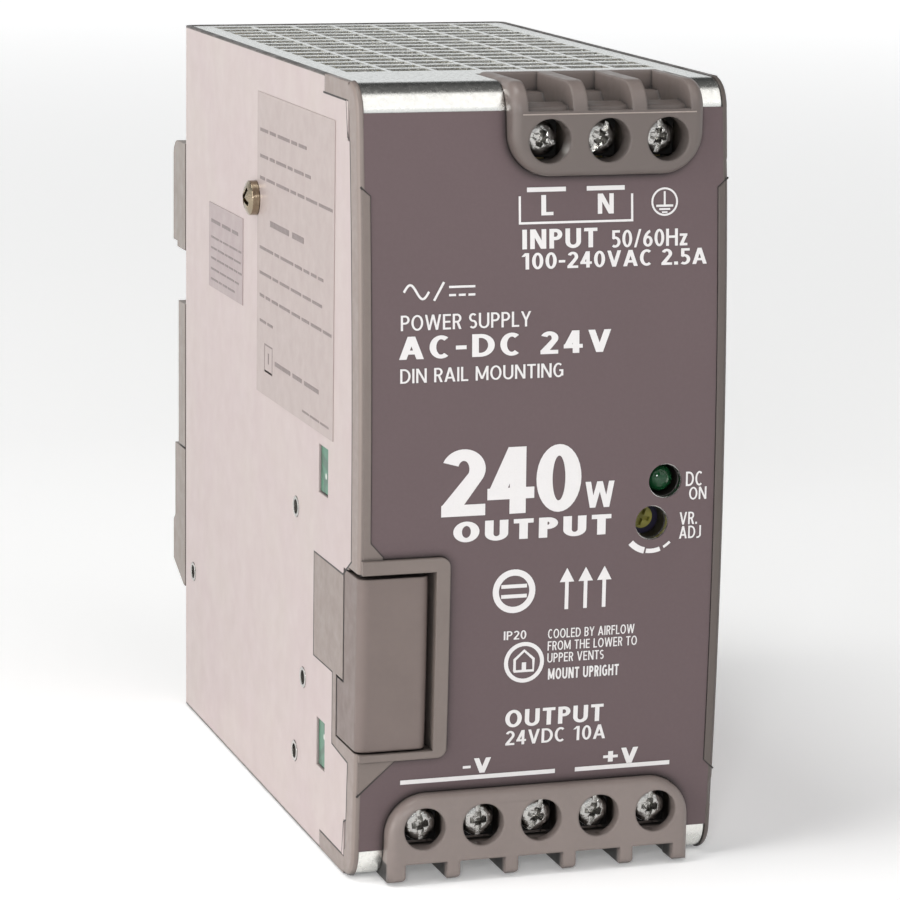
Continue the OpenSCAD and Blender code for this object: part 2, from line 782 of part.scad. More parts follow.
// Coil of the spring between the bracket's shelf and the latch
module latch_spring() {
    turns = 7;
    steps = 14;
    sides = 8;
    rings = turns * steps;
    centre_y = (latch_front + latch_back) / 2;
    height = spring_top - spring_bottom - 2 * spring_wire - 0.1;
    rise = height / rings;
    lean = atan(rise * steps / (2 * PI * spring_r));
    points = [
        for (ring = [0 : rings], k = [0 : sides - 1])
            let (
                turn = 360 * ring / steps,
                around = 360 * k / sides,
                out = spring_r + spring_wire * cos(around),
                up = spring_wire * sin(around)
            )
            [
                out * cos(turn) - up * sin(lean) * -sin(turn),
                out * sin(turn) - up * sin(lean) * cos(turn),
                ring * rise + up * cos(lean)
            ]
    ];
    walls = [
        for (ring = [0 : rings - 1], k = [0 : sides - 1])
            let (
                a = ring * sides + k,
                b = ring * sides + (k + 1) % sides
            )
            [a, a + sides, b + sides, b]
    ];
    start_cap = [for (k = [0 : sides - 1]) k];
    end_cap = [for (k = [sides - 1 : -1 : 0]) rings * sides + k];
    in_case() color("silver")
        translate([0, centre_y, spring_bottom + spring_wire + 0.05])
            polyhedron(points, concat(walls, [start_cap], [end_cap]));
}

// Four screws that hold the bracket to the rear sheet
module bracket_screws() {
    in_case() color("silver") for (side = [-1, 1], z = bracket_screw_z) {
        x = side * bracket_screw_x;
        difference() {
            union() {
                rod(x, z, 2.8, base_back + 0.6, base_back + 2.4);
                rod(x, z, 1.4, case_d - 4, base_back + 1);
            }
            for (turn = [0, 90]) translate([x, base_back + 2.4, z]) rotate([0, turn + 20, 0])
                block(-1.7, 1.7, -1.1, 1, -0.4, 0.4);
        }
    }
}

// Pan head screw in the left side, which clamps the board's heat sink
module chassis_screw() {
    crown = 5.2;
    head_out = -half_w - 2.2;
    y = side_screw.x;
    z = side_screw.y;
    in_case() color("#c8c0a8") difference() {
        union() {
            intersection() {
                cross_rod(y, z, side_head_r, head_out, -half_w);
                translate([head_out + crown, y, z]) sphere(r = crown, $fn = 96);
            }
            cross_rod(y, z, 1.45, -half_w - 0.1, -half_w + 2.2);
        }
        translate([head_out, y, z]) rotate([30, 0, 0]) for (turn = [0, 90])
            rotate([turn, 0, 0]) block(-1, 1.2, -1.9, 1.9, -0.45, 0.45);
    }
}

// Paper labels on the left side
module caution_label() {
    in_case() color("lightgray") difference() {
        block(-half_w - label_t, -half_w, 14.8, 61.4, 68, 118.2);
        cross_rod(side_screw.x, side_screw.y, side_head_r + 0.2, -half_w - 1, -half_w + 1);
    }
}

module terminal_label() {
    in_case() color("lightgray")
        block(-half_w - label_t, -half_w, 71, 94.5, 80.8, 95.6);
}

// Main board with its copper side to the left
module circuit_board() {
    in_case() color("seagreen") difference() {
        union() {
            block(board_x - board_t, board_x, board_y + 4, 110, 6, 119);
            // tabs that fill the slots in the left side
            for (slot = side_slots)
                block(-half_w + tab_sunk, board_x - board_t + 0.2,
                    slot[0] + tab_gap, slot[0] + slot[2] - tab_gap,
                    slot[1] + tab_gap, slot[1] + slot[3] - tab_gap);
        }
        for (at = standoff_at) cross_rod(at.x, at.y, 1.6, board_x - 3, board_x + 1);
    }
}

module board_standoffs() {
    in_case() color("silver") for (at = standoff_at) difference() {
        union() {
            cross_rod(at.x, at.y, 2.6, -half_w + sheet_t, board_x - board_t);
            cross_rod(at.x, at.y, 1.7, -half_w - 0.12, -half_w + sheet_t + 0.1);
        }
        cross_rod(at.x, at.y, 1.2, -half_w - 1, board_x);
    }
}

module board_screws() {
    in_case() color("silver") for (at = standoff_at) difference() {
        union() {
            cross_rod(at.x, at.y, 2.5, board_x, board_x + 1.8);
            cross_rod(at.x, at.y, 1.15, board_x - 3.2, board_x + 0.5);
        }
        for (turn = [0, 90]) translate([board_x + 1.8, at.x, at.y]) rotate([turn, 0, 0])
            block(-1, 1, -1.4, 1.4, -0.35, 0.35);
    }
}

// Small upright board behind the front that carries the lamp and the trimmer
module indicator_board() {
    in_case() color("seagreen") {
        block(11, 26, board_y, board_y + 1.6, 48, 70);
        block(13, 24, board_y + 1.6, board_y + 4, 66, 69);
    }
}

module power_led() {
    led_r = 2.3;
    dome_y = 3.6;
    in_case() color("green") {
        rod(led_x, led_z, led_r, dome_y, board_y - 1.2);
        rod(led_x, led_z, led_r + 0.35, board_y - 2, board_y - 1);
        translate([led_x, dome_y, led_z]) sphere(r = led_r);
        for (dz = [-1.27, 1.27]) rod(led_x, led_z + dz, 0.25, board_y - 1.2, board_y);
    }
}

module trimmer_body() {
    in_case() color("darkslateblue") difference() {
        block(trim_x - 3.4, trim_x + 3.4, 5.4, board_y, trim_z - 3.4, trim_z + 3.4);
        rod(trim_x, trim_z, 1.9, 4, 7.4);
    }
}

module trimmer_rotor() {
    in_case() color("#b0a540") difference() {
        union() {
            rod(trim_x, trim_z, 1.8, 4.7, 7);
            rod(trim_x, trim_z, 1.2, 6.5, 7.3);
        }
        translate([trim_x, 4.7, trim_z]) for (turn = [20, 110]) rotate([0, turn, 0])
            block(-1.4, 1.4, -1, 0.9, -0.35, 0.35);
    }
}

// Ring core lying on the board, with its turns as sectors of a thicker ring
module ring_choke(y, z, outer, inner, height, wire) {
    step = 20;
    wide = outer - inner;
    translate([board_x + wire, y, z]) rotate([0, 90, 0]) {
        rotate_extrude() translate([inner, 0]) square([wide, height]);
        for (turn = [step : step : 360 - step]) if (turn % 180 > step / 2) rotate([0, 0, turn])
            rotate_extrude(angle = step * 0.6) translate([inner - wire, -wire])
                square([wide + 2 * wire, height + 2 * wire]);
    }
}

module emi_choke() {
    in_case() color("olivedrab") ring_choke(94, 105, 10.5, 6, 11, 1.2);
}

module pfc_choke() {
    in_case() color("darkgoldenrod") ring_choke(48, 83, 11, 6.5, 13, 1.4);
}

module output_choke() {
    in_case() color("darkgoldenrod") ring_choke(92, 15, 9, 5.2, 11, 1.1);
}

module input_fuse() {
    in_case() color("wheat") {
        rod(board_x + 3.4, 114, 2.6, 25, 43);
        for (y = [24, 38.5]) rod(board_x + 3.4, 114, 3, y, y + 5.5);
    }
}

// A round disc part on two legs
module disc_part(y, z, r, t) {
    rod(board_x + r + 1.5, z, r, y, y + t);
    for (dz = [-3, 3]) cross_rod(y + t / 2, z + dz, 0.4, board_x, board_x + 4);
}

module surge_varistor() {
    in_case() color("royalblue") disc_part(48, 111, 6, 4);
}

module inrush_thermistor() {
    in_case() color("darkgreen") disc_part(57, 111, 6, 5);
}

module x_capacitors() {
    in_case() color("gold") {
        block(board_x, -8, 66, 75, 99, 118);
        block(board_x, -10, 24, 42, 98.5, 107);
    }
}

module bridge_rectifier() {
    in_case() color("#222222") {
        block(board_x + 4, -5, 25, 29.5, 74, 94);
        for (k = [0 : 3]) block(board_x, board_x + 4, 27, 27.8, 76.5 + k * 5, 77.5 + k * 5);
    }
}

module bulk_capacitor() {
    in_case() color("midnightblue") difference() {
        cross_rod(82, 79.5, 12, board_x, 21);
        for (turn = [0, 90]) translate([21, 82, 79.5]) rotate([turn, 0, 0])
            block(-0.4, 1, -7, 7, -0.3, 0.3);
    }
}

// Aluminium plate on edge with its foot along the board
module heat_plate(z, y0, y1, top) {
    block(board_x, top, y0, y1, z, z + 2.5);
    block(top - 2.5, top, y0, y1, z - 5, z);
}

module primary_heatsink() {
    in_case() color("lightgray") heat_plate(62.5, 26, 106, 16);
}

module output_heatsink() {
    in_case() color("lightgray") heat_plate(31.5, 44, 104, 12);
}

// Flat power transistors in a row under a heat sink
module power_packages(places, z, w) {
    for (y = places) {
        block(board_x + 4, board_x + 4 + 1.5 * w, y, y + w, z - 4.2, z);
        for (k = [-1 : 1]) block(board_x, board_x + 4, y + w / 2 + k * 2.5 - 0.5,
            y + w / 2 + k * 2.5 + 0.5, z - 2.6, z - 1.9);
    }
}

module switching_transistors() {
    in_case() color("#222222") power_packages([26.5, 40, 88], 62.5, 10);
}

module output_rectifiers() {
    in_case() color("#222222") power_packages([56, 74], 31.5, 14);
}

module control_board() {
    in_case() color("seagreen") {
        block(board_x, -3, 44, 45.6, 38, 57);
        block(-20, -12, 45.6, 47.2, 42, 52);
        block(-9, -5, 45.6, 47.4, 44, 50);
    }
}

module transformer_core() {
    in_case() color("#333333") difference() {
        block(board_x + 3, 16, 52, 84, 37.5, 56.5);
        block(board_x + 8, 11, 56, 64, 36, 58);
        block(board_x + 8, 11, 72, 80, 36, 58);
    }
}

module transformer_winding() {
    in_case() color("khaki") difference() {
        block(board_x + 8.3, 10.7, 56.3, 79.7, 34.5, 59);
        block(board_x + 7, 12, 63.9, 72.1, 37.3, 56.7);
    }
}

module output_capacitors() {
    in_case() color("midnightblue") for (y = [46, 57, 68], z = [10, 21]) {
        cross_rod(y, z, 5, board_x, 2);
    }
}

chassis();
front_cover();
face_overlay();
front_bezel();
option_cover();
input_terminal_block();
output_terminal_block();
input_terminal_bars();
output_terminal_bars();
input_clamp(1);  // input_clamp_1
input_clamp(2);  // input_clamp_2
input_clamp(3);  // input_clamp_3
input_screw(1);  // input_screw_1
input_screw(2);  // input_screw_2
input_screw(3);  // input_screw_3
output_clamp(1);  // output_clamp_1
output_clamp(2);  // output_clamp_2
output_clamp(3);  // output_clamp_3
output_clamp(4);  // output_clamp_4
output_clamp(5);  // output_clamp_5
output_screw(1);  // output_screw_1
output_screw(2);  // output_screw_2
output_screw(3);  // output_screw_3
output_screw(4);  // output_screw_4
output_screw(5);  // output_screw_5
rail_bracket();
rail_latch();
latch_spring();
bracket_screws();
chassis_screw();
caution_label();
terminal_label();
circuit_board();
board_standoffs();
board_screws();
indicator_board();
power_led();
trimmer_body();
trimmer_rotor();
input_fuse();
surge_varistor();
inrush_thermistor();
x_capacitors();
emi_choke();
bridge_rectifier();
pfc_choke();
bulk_capacitor();
primary_heatsink();
switching_transistors();
control_board();
transformer_core();
transformer_winding();
output_heatsink();
output_rectifiers();
output_choke();
output_capacitors();
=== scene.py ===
import json
import math
import random

import bmesh
import bpy
from mathutils import Matrix, Vector

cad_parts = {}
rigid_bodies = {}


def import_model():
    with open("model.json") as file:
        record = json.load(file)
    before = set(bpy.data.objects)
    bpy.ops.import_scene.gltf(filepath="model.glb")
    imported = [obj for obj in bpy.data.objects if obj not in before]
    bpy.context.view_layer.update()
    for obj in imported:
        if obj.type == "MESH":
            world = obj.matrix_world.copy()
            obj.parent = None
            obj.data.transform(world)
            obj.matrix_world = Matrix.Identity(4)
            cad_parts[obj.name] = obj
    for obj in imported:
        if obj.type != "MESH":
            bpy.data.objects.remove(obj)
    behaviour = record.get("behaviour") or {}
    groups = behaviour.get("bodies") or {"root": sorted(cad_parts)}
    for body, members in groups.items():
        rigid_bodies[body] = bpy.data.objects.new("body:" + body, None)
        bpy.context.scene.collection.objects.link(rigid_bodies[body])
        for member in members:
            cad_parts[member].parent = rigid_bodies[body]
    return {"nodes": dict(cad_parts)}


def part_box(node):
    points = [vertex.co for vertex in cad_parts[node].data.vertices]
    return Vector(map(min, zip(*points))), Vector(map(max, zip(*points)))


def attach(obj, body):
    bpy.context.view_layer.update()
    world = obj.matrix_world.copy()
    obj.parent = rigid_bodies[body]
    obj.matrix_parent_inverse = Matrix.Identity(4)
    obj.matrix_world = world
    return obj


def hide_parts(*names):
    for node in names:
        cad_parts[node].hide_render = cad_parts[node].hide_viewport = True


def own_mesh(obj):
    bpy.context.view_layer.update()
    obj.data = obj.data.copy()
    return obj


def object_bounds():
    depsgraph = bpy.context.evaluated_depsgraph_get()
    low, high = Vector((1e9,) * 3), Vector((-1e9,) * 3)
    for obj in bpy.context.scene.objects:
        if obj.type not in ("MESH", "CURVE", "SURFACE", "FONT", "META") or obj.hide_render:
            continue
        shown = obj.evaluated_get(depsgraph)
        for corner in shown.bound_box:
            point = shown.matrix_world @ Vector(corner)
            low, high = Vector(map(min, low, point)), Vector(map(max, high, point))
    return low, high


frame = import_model()
nodes = frame["nodes"]
cad_box = [list(v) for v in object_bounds()]
scene = bpy.context.scene
mm = 0.001

# The case's own origin: its front-most line, the middle of its width, its bottom
film_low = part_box("face_overlay")[0]
edge_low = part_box("front_bezel")[0]
origin = Vector((0, film_low.y, edge_low.z))
# The front's bow in mm: its radius, and the height of its front-most line
bow_radius = 655.0
bow_height = 56.0


def place(x, y, z):
    """A point given in the case's millimetres, in the row frame."""
    return origin + Vector((x, y, z)) * mm


def bow(z):
    """How far the bowed front lies behind its front-most line at a height, in mm."""
    return bow_radius - math.sqrt(bow_radius ** 2 - (z - bow_height) ** 2)


# ---------------------------------------------------------------- camera, light
# The view: degrees round from the front, above level and tilted, and millimetres
view_azimuth = -17.874
view_elevation = 11.3
view_roll = 0.837
view_distance = 620.321
view_target = (3.725, -58.6, -10.175)
focal_length = 145.06


def make_camera():
    data = bpy.data.cameras.new("camera")
    data.lens = focal_length
    data.sensor_width = 36
    data.clip_start = 0.01
    data.clip_end = 50
    cam = bpy.data.objects.new("camera", data)
    scene.collection.objects.link(cam)
    azimuth = math.radians(view_azimuth)
    elevation = math.radians(view_elevation)
    roll = math.radians(view_roll)
    back = Vector((
        math.sin(azimuth) * math.cos(elevation),
        -math.cos(azimuth) * math.cos(elevation),
        math.sin(elevation),
    ))
    right = (-back).cross(Vector((0, 0, 1))).normalized()
    up = right.cross(-back)
    turned_right = math.cos(roll) * right + math.sin(roll) * up
    turned_up = -math.sin(roll) * right + math.cos(roll) * up
    where = Vector(view_target) * mm + back * view_distance * mm
    cam.matrix_world = Matrix((
        (turned_right.x, turned_up.x, back.x, where.x),
        (turned_right.y, turned_up.y, back.y, where.y),
        (turned_right.z, turned_up.z, back.z, where.z),
        (0, 0, 0, 1),
    ))
    scene.camera = cam
    return where


def area_light(name, where, look_at, size, power, colour=(1, 1, 1), size_y=None):
    data = bpy.data.lights.new(name, "AREA")
    data.energy = power
    data.color = colour
    data.size = size
    if size_y:
        data.shape = "RECTANGLE"
        data.size_y = size_y
    light = bpy.data.objects.new(name, data)
    scene.collection.objects.link(light)
    light.location = where
    light.rotation_mode = "QUATERNION"
    light.rotation_quaternion = (Vector(where) - Vector(look_at)).to_track_quat("Z", "Y")


def make_world():
    """A room that is pale near the horizon and dark above it."""
    world = bpy.data.worlds.new("studio")
    scene.world = world
    world.use_nodes = True
    tree = world.node_tree
    where = tree.nodes.new("ShaderNodeTexCoord")
    split = tree.nodes.new("ShaderNodeSeparateXYZ")
    ramp = tree.nodes.new("ShaderNodeValToRGB")
    stops = ramp.color_ramp.elements
    stops[0].position = 0.0
    stops[0].color = (0.97, 0.99, 1.0, 1)
    stops[1].position = 1.0
    stops[1].color = (0.14, 0.14, 0.14, 1)
    # sine of the angle above the horizon, and how bright the room is there
    for position, grey in ((0.26, 1.0), (0.42, 0.07), (0.72, 0.05)):
        stop = stops.new(position)
        stop.color = (grey * 0.97, grey, grey * 1.02, 1)
    tree.links.new(where.outputs["Generated"], split.inputs[0])
    tree.links.new(split.outputs["Z"], ramp.inputs["Fac"])
    tree.links.new(ramp.outputs["Color"], tree.nodes["Background"].inputs["Color"])
    tree.nodes["Background"].inputs["Strength"].default_value = 0.9


# How far the floor lies below the object, in metres
floor_gap = 0.0001


def make_studio(camera_at):
    scene.view_settings.view_transform = "Standard"
    make_world()
    middle = (0, -0.06, 0)
    area_light("key", (0.42, -0.99, 1.07), middle, size=0.9, size_y=1.49, power=5.35,
               colour=(1.0, 0.99, 0.98))
    area_light("left", (-1.5, -0.4, 0.45), middle, size=1.1, power=15.0, colour=(1.0, 0.97, 0.96))
    area_light("top", (-0.45, -0.1, 1.1), middle, size=0.5, power=6.5, colour=(1.0, 1.0, 0.985))
    area_light("right", (1.4, -0.3, 0.5), middle, size=0.8, power=0.8)
    area_light("front", camera_at + Vector((-0.08, -0.1, 0.12)), middle, size=0.1, power=1.3)
    bm = bmesh.new()
    bmesh.ops.create_grid(bm, x_segments=8, y_segments=8, size=8)
    floor = from_bmesh("floor", bm)
    floor.location = (0, 0, min(cad_box[0][2], edge_low.z) - floor_gap)
    m, shader, tree = new_material("floor_paper")
    shader.inputs["Base Color"].default_value = (0.93, 0.93, 0.93, 1)
    shader.inputs["Roughness"].default_value = 0.9
    shader.inputs["Emission Color"].default_value = (1, 1, 1, 1)
    # the floor glows far off, so that it stays white there and dim below the object
    where = tree.nodes.new("ShaderNodeTexCoord")
    far = tree.nodes.new("ShaderNodeVectorMath")
    far.operation = "LENGTH"
    glow = tree.nodes.new("ShaderNodeMapRange")
    glow.inputs["From Min"].default_value = 0.25
    glow.inputs["From Max"].default_value = 2.2
    glow.inputs["To Min"].default_value = 0.2
    glow.inputs["To Max"].default_value = 1.0
    tree.links.new(where.outputs["Object"], far.inputs[0])
    tree.links.new(far.outputs["Value"], glow.inputs["Value"])
    tree.links.new(glow.outputs[0], shader.inputs["Emission Strength"])
    floor.data.materials.append(m)


# ---------------------------------------------------------------- materials
def from_bmesh(name, bm):
    """A new object in the scene that holds a finished bmesh."""
    mesh = bpy.data.meshes.new(name)
    bm.to_mesh(mesh)
    bm.free()
    obj = bpy.data.objects.new(name, mesh)
    scene.collection.objects.link(obj)
    return obj


def new_material(name):
    m = bpy.data.materials.new(name)
    m.use_nodes = True
    return m, m.node_tree.nodes["Principled BSDF"], m.node_tree


class Surface:
    """A Principled material whose colour, roughness and relief come from noises in the row frame."""

    def __init__(self, name, colour, roughness=0.5, metallic=0.0, edge=0.0, **sockets):
        self.material, self.shader, self.tree = new_material(name)
        self.shader.inputs["Roughness"].default_value = roughness
        self.shader.inputs["Metallic"].default_value = metallic
        for key, value in sockets.items():
            self.shader.inputs[key.replace("_", " ")].default_value = value
        self.coords = self.node("ShaderNodeTexCoord").outputs["Object"]
        base = self.node("ShaderNodeRGB")
        base.outputs[0].default_value = (*colour, 1)
        self.colour = base.outputs[0]
        self.normal = self.rounded(edge) if edge else None
        self.rough = None

    def node(self, kind, **settings):
        made = self.tree.nodes.new(kind)
        for key, value in settings.items():
            setattr(made, key, value)
        return made

    def link(self, a, b):
        self.tree.links.new(a, b)

    def rounded(self, edge):
        """Shades sharp edges as if they had a small radius, in millimetres."""
        made = self.node("ShaderNodeBevel", samples=6)
        made.inputs["Radius"].default_value = edge * mm
        return made.outputs[0]

    def stretched(self, stretch):
        mapping = self.node("ShaderNodeMapping")
        mapping.inputs["Scale"].default_value = stretch
        self.link(self.coords, mapping.inputs["Vector"])
        return mapping.outputs[0]

    def noise(self, size, detail=3.0, stretch=None):
        """Noise whose blobs are about size millimetres across."""
        made = self.node("ShaderNodeTexNoise")
        made.inputs["Scale"].default_value = 1 / (size * mm)
        made.inputs["Detail"].default_value = detail
        made.inputs["Roughness"].default_value = 0.55
        self.link(self.stretched(stretch) if stretch else self.coords, made.inputs["Vector"])
        return made.outputs["Fac"]

    def ramp(self, value, low, high, to_low=0.0, to_high=1.0):
        made = self.node("ShaderNodeMapRange")
        made.inputs["From Min"].default_value = low
        made.inputs["From Max"].default_value = high
        made.inputs["To Min"].default_value = to_low
        made.inputs["To Max"].default_value = to_high
        self.link(value, made.inputs["Value"])
        return made.outputs[0]

    def tint(self, mask, colour):
        """Mixes a colour in where the mask is 1."""
        mix = self.node("ShaderNodeMix", data_type="RGBA")
        self.link(mask, mix.inputs[0])
        self.link(self.colour, mix.inputs[6])
        mix.inputs[7].default_value = (*colour, 1)
        self.colour = mix.outputs[2]

    def vary_roughness(self, value, low, high):
        self.rough = self.ramp(value, 0.3, 0.7, low, high)

    def bump(self, height, depth, strength=1.0):
        """Relief of some depth in millimetres."""
        made = self.node("ShaderNodeBump")
        made.inputs["Distance"].default_value = depth * mm
        made.inputs["Strength"].default_value = strength
        self.link(height, made.inputs["Height"])
        if self.normal:
            self.link(self.normal, made.inputs["Normal"])
        self.normal = made.outputs[0]

    def axis(self, which):
        split = self.node("ShaderNodeSeparateXYZ")
        self.link(self.coords, split.inputs[0])
        return split.outputs[which]

    def both(self, a, b):
        made = self.node("ShaderNodeMath", operation="MULTIPLY")
        self.link(a, made.inputs[0])
        self.link(b, made.inputs[1])
        return made.outputs[0]

    def band(self, which, low, high, fade):
        """1 between two places along an axis and 0 outside, both in case millimetres."""
        at = self.axis(which)
        shift = place(0, 0, 0)["XYZ".index(which)]
        rise = self.ramp(at, shift + (low - fade) * mm, shift + low * mm)
        fall = self.ramp(at, shift + high * mm, shift + (high + fade) * mm, 1, 0)
        return self.both(rise, fall)

    def painted_corner_shade(self, reach, colour, deep, open_at, most=1.0):
        """Paints shade into corners and hollows from ambient occlusion: fully where the open share is
        deep, not at all at open_at.
        """
        made = self.node("ShaderNodeAmbientOcclusion", samples=6)
        made.inputs["Distance"].default_value = reach * mm
        self.tint(self.ramp(made.outputs["AO"], deep, open_at, most, 0), colour)

    def done(self):
        self.link(self.colour, self.shader.inputs["Base Color"])
        if self.rough:
            self.link(self.rough, self.shader.inputs["Roughness"])
        if self.normal:
            self.link(self.normal, self.shader.inputs["Normal"])
        return self.material


# What stands for unlit hollows, in plastic and in the bright sheet's slots
shadow = (0.012, 0.010, 0.009)
slot_shadow = (0.016, 0.019, 0.022)


def moulded(name, colour, grain=0.35, roughness=0.4, edge=0.35, painted_shade_bands=(), painted_shade_edge=None,
            painted_shade_boxes=(), painted_dim_band=None, painted_light_side=None):
    """Moulded plastic: fine eroded grain, faint flow marks and slightly glossier high spots.

    In case millimetres, the shade bands (z and y ranges) and shade boxes (x, y and z ranges) are
    hollows painted black for shade; the shaded edge (x) and the dim band (z) carry painted shade and the
    lit side (x) painted light.
    """
    s = Surface(name, colour, roughness, edge=edge, Specular_IOR_Level=0.42)
    dark = tuple(c * 0.88 for c in colour)
    light = tuple(min(1, c * 1.09) for c in colour)
    s.tint(s.ramp(s.noise(9, 4), 0.35, 0.75, 0, 0.7), dark)
    s.tint(s.ramp(s.noise(1.1, 2), 0.45, 0.8, 0, 0.35), light)
    # Painted shade: the hollows' bands are painted black
    for z0, z1, y0, y1 in painted_shade_bands:
        s.tint(s.both(s.band("Z", z0, z1, 0.05), s.band("Y", y0, y1, 0.9)), shadow)
    # Painted shade on the right edge and over the dimmed band, and painted light on the left side, for
    # how the light falls there
    if painted_shade_edge:
        s.tint(s.band("X", *painted_shade_edge, 0.15), tuple(c * 0.55 for c in colour))
    if painted_light_side:
        s.tint(s.band("X", *painted_light_side, 0.1), tuple(c * 1.25 for c in colour))
    if painted_dim_band:
        s.tint(s.band("Z", *painted_dim_band, 5), tuple(c * 0.58 for c in colour))
    # Painted shade: the boxes round the lamp windows' sleeves are painted black
    for x0, x1, y0, y1, z0, z1 in painted_shade_boxes:
        flat = s.both(s.band("X", x0, x1, 0.1), s.band("Z", z0, z1, 0.1))
        s.tint(s.both(flat, s.band("Y", y0, y1, 0.3)), shadow)
    # Painted shade in corners and hollows, from ambient occlusion
    s.painted_corner_shade(5, shadow, 0.05, 0.42)
    s.painted_corner_shade(0.8, shadow, 0.45, 0.8, 0.85)
    s.vary_roughness(s.noise(2.2, 3), roughness - 0.06, roughness + 0.1)
    s.bump(s.noise(grain, 2), 0.006)
    s.bump(s.noise(14, 2), 0.02, 0.6)
    return s.done()


# Painted shade along the sheet's cut edges at the case's top and bottom: its colour and the edges'
# heights in mm
painted_edge_shade = (0.055, 0.045, 0.038)
top_edge = (124.5, 126)
bottom_edge = (-1, 0.45)


def sheet_metal(name, colour, roughness, metallic, mottle):
    """Painted or plated sheet: broad mottling, rolled grain along its length and fine spangle."""
    s = Surface(name, colour, roughness, metallic, edge=0.25)
    s.tint(s.ramp(s.noise(16, 4), 0.4, 0.7, 0, 0.8), mottle)
    # Painted shade along the sheet's top and bottom edges
    for edge in (top_edge, bottom_edge):
        s.tint(s.band("Z", *edge, 0.05), painted_edge_shade)
    # Painted shade in corners and seams, from ambient occlusion
    s.painted_corner_shade(0.6, shadow, 0.25, 0.62, 0.85)
    s.tint(s.ramp(s.noise(2.6, 3, (1, 1, 0.35)), 0.5, 0.85, 0, 0.4), tuple(c * 0.93 for c in colour))
    s.vary_roughness(s.noise(5, 4), roughness - 0.06, roughness + 0.08)
    s.bump(s.noise(0.28, 2), 0.004)
    s.bump(s.noise(26, 1), 0.05, 0.5)
    return s.done()


def bright_metal(name, colour, roughness, grain=0.22, depth=0.004, stretch=None, edge=0.12,
                 hollows=0):
    """Bare or plated metal: uneven tone and gloss, fine grain and, at need, painted shade in its
    hollows.
    """
    s = Surface(name, colour, roughness, 1.0, edge=edge)
    s.tint(s.ramp(s.noise(1.4, 3), 0.4, 0.75, 0, 0.5), tuple(c * 0.86 for c in colour))
    # Painted shade in the hollows, from ambient occlusion out to the given reach
    if hollows:
        s.painted_corner_shade(hollows, slot_shadow, 0.3, 0.72, 0.92)
    s.vary_roughness(s.noise(0.7, 4, stretch), roughness - 0.05, roughness + 0.08)
    s.bump(s.noise(grain, 3, stretch), depth)
    return s.done()


def painted_film(name, colour):
    """Printed film on the front: fine silk texture and a very faint orange peel."""
    s = Surface(name, colour, 0.52, Specular_IOR_Level=0.35)
    s.tint(s.ramp(s.noise(0.5, 2), 0.45, 0.8, 0, 0.35), tuple(c * 1.13 for c in colour))
    s.tint(s.ramp(s.noise(24, 3), 0.4, 0.75, 0, 0.45), tuple(c * 0.93 for c in colour))
    # Painted shade beside the parts that stand out of the film, from ambient occlusion
    s.painted_corner_shade(1.5, shadow, 0.5, 0.9)
    s.vary_roughness(s.noise(0.8, 3), 0.48, 0.6)
    s.bump(s.noise(0.3, 2), 0.004)
    return s.done()


def glossy_part(name, colour, roughness=0.3, blotch=0.85, coat=0.0):
    """Lacquered or sleeved electronic part with uneven gloss and small dimples."""
    s = Surface(name, colour, roughness, Coat_Weight=coat)
    s.tint(s.ramp(s.noise(3.5, 4), 0.4, 0.75, 0, 0.8), tuple(c * blotch for c in colour))
    s.vary_roughness(s.noise(1.5, 3), roughness - 0.08, roughness + 0.12)
    s.bump(s.noise(0.8, 3), 0.02, 0.7)
    return s.done()


def circuit_laminate(name, colour):
    """Solder mask with darker traces, pale pads and the laminate's weave."""
    s = Surface(name, colour, 0.34, Coat_Weight=0.15)
    cells = s.node("ShaderNodeTexVoronoi", feature="DISTANCE_TO_EDGE")
    cells.inputs["Scale"].default_value = 1 / (6 * mm)
    s.link(s.coords, cells.inputs["Vector"])
    s.tint(s.ramp(cells.outputs["Distance"], 0.05, 0.09, 0.75, 0), tuple(c * 0.45 for c in colour))
    pads = s.node("ShaderNodeTexVoronoi", feature="F1")
    pads.inputs["Scale"].default_value = 1 / (3.2 * mm)
    pads.inputs["Randomness"].default_value = 0.7
    s.link(s.coords, pads.inputs["Vector"])
    s.tint(s.ramp(pads.outputs["Distance"], 0.16, 0.2, 0.8, 0), (0.62, 0.62, 0.58))
    weave = s.node("ShaderNodeTexWave", wave_type="BANDS", bands_direction="DIAGONAL")
    weave.inputs["Scale"].default_value = 1 / (1.2 * mm)
    weave.inputs["Distortion"].default_value = 0.6
    s.link(s.coords, weave.inputs["Vector"])
    s.bump(weave.outputs["Fac"], 0.004)
    s.bump(s.ramp(pads.outputs["Distance"], 0.12, 0.24, 1, 0), 0.05)
    return s.done()


def wound_wire(name, colour, half_pitch):
    """Enamelled wire: bands about two half pitches apart, in millimetres, under lacquer."""
    s = Surface(name, colour, 0.3, 0.75, Coat_Weight=0.3)
    wave = s.node("ShaderNodeTexWave", wave_type="BANDS", bands_direction="X")
    wave.inputs["Scale"].default_value = 1 / (half_pitch * mm) / 6.283
    wave.inputs["Distortion"].default_value = 1.2
    s.link(s.coords, wave.inputs["Vector"])
    # Painted shade in the grooves between turns: darker where the bump is low
    s.tint(s.ramp(wave.outputs["Fac"], 0.0, 0.45, 0.8, 0), tuple(c * 0.35 for c in colour))
    s.tint(s.ramp(s.noise(5, 3), 0.4, 0.7, 0, 0.5), tuple(c * 0.7 for c in colour))
    s.bump(wave.outputs["Fac"], 0.15)
    return s.done()


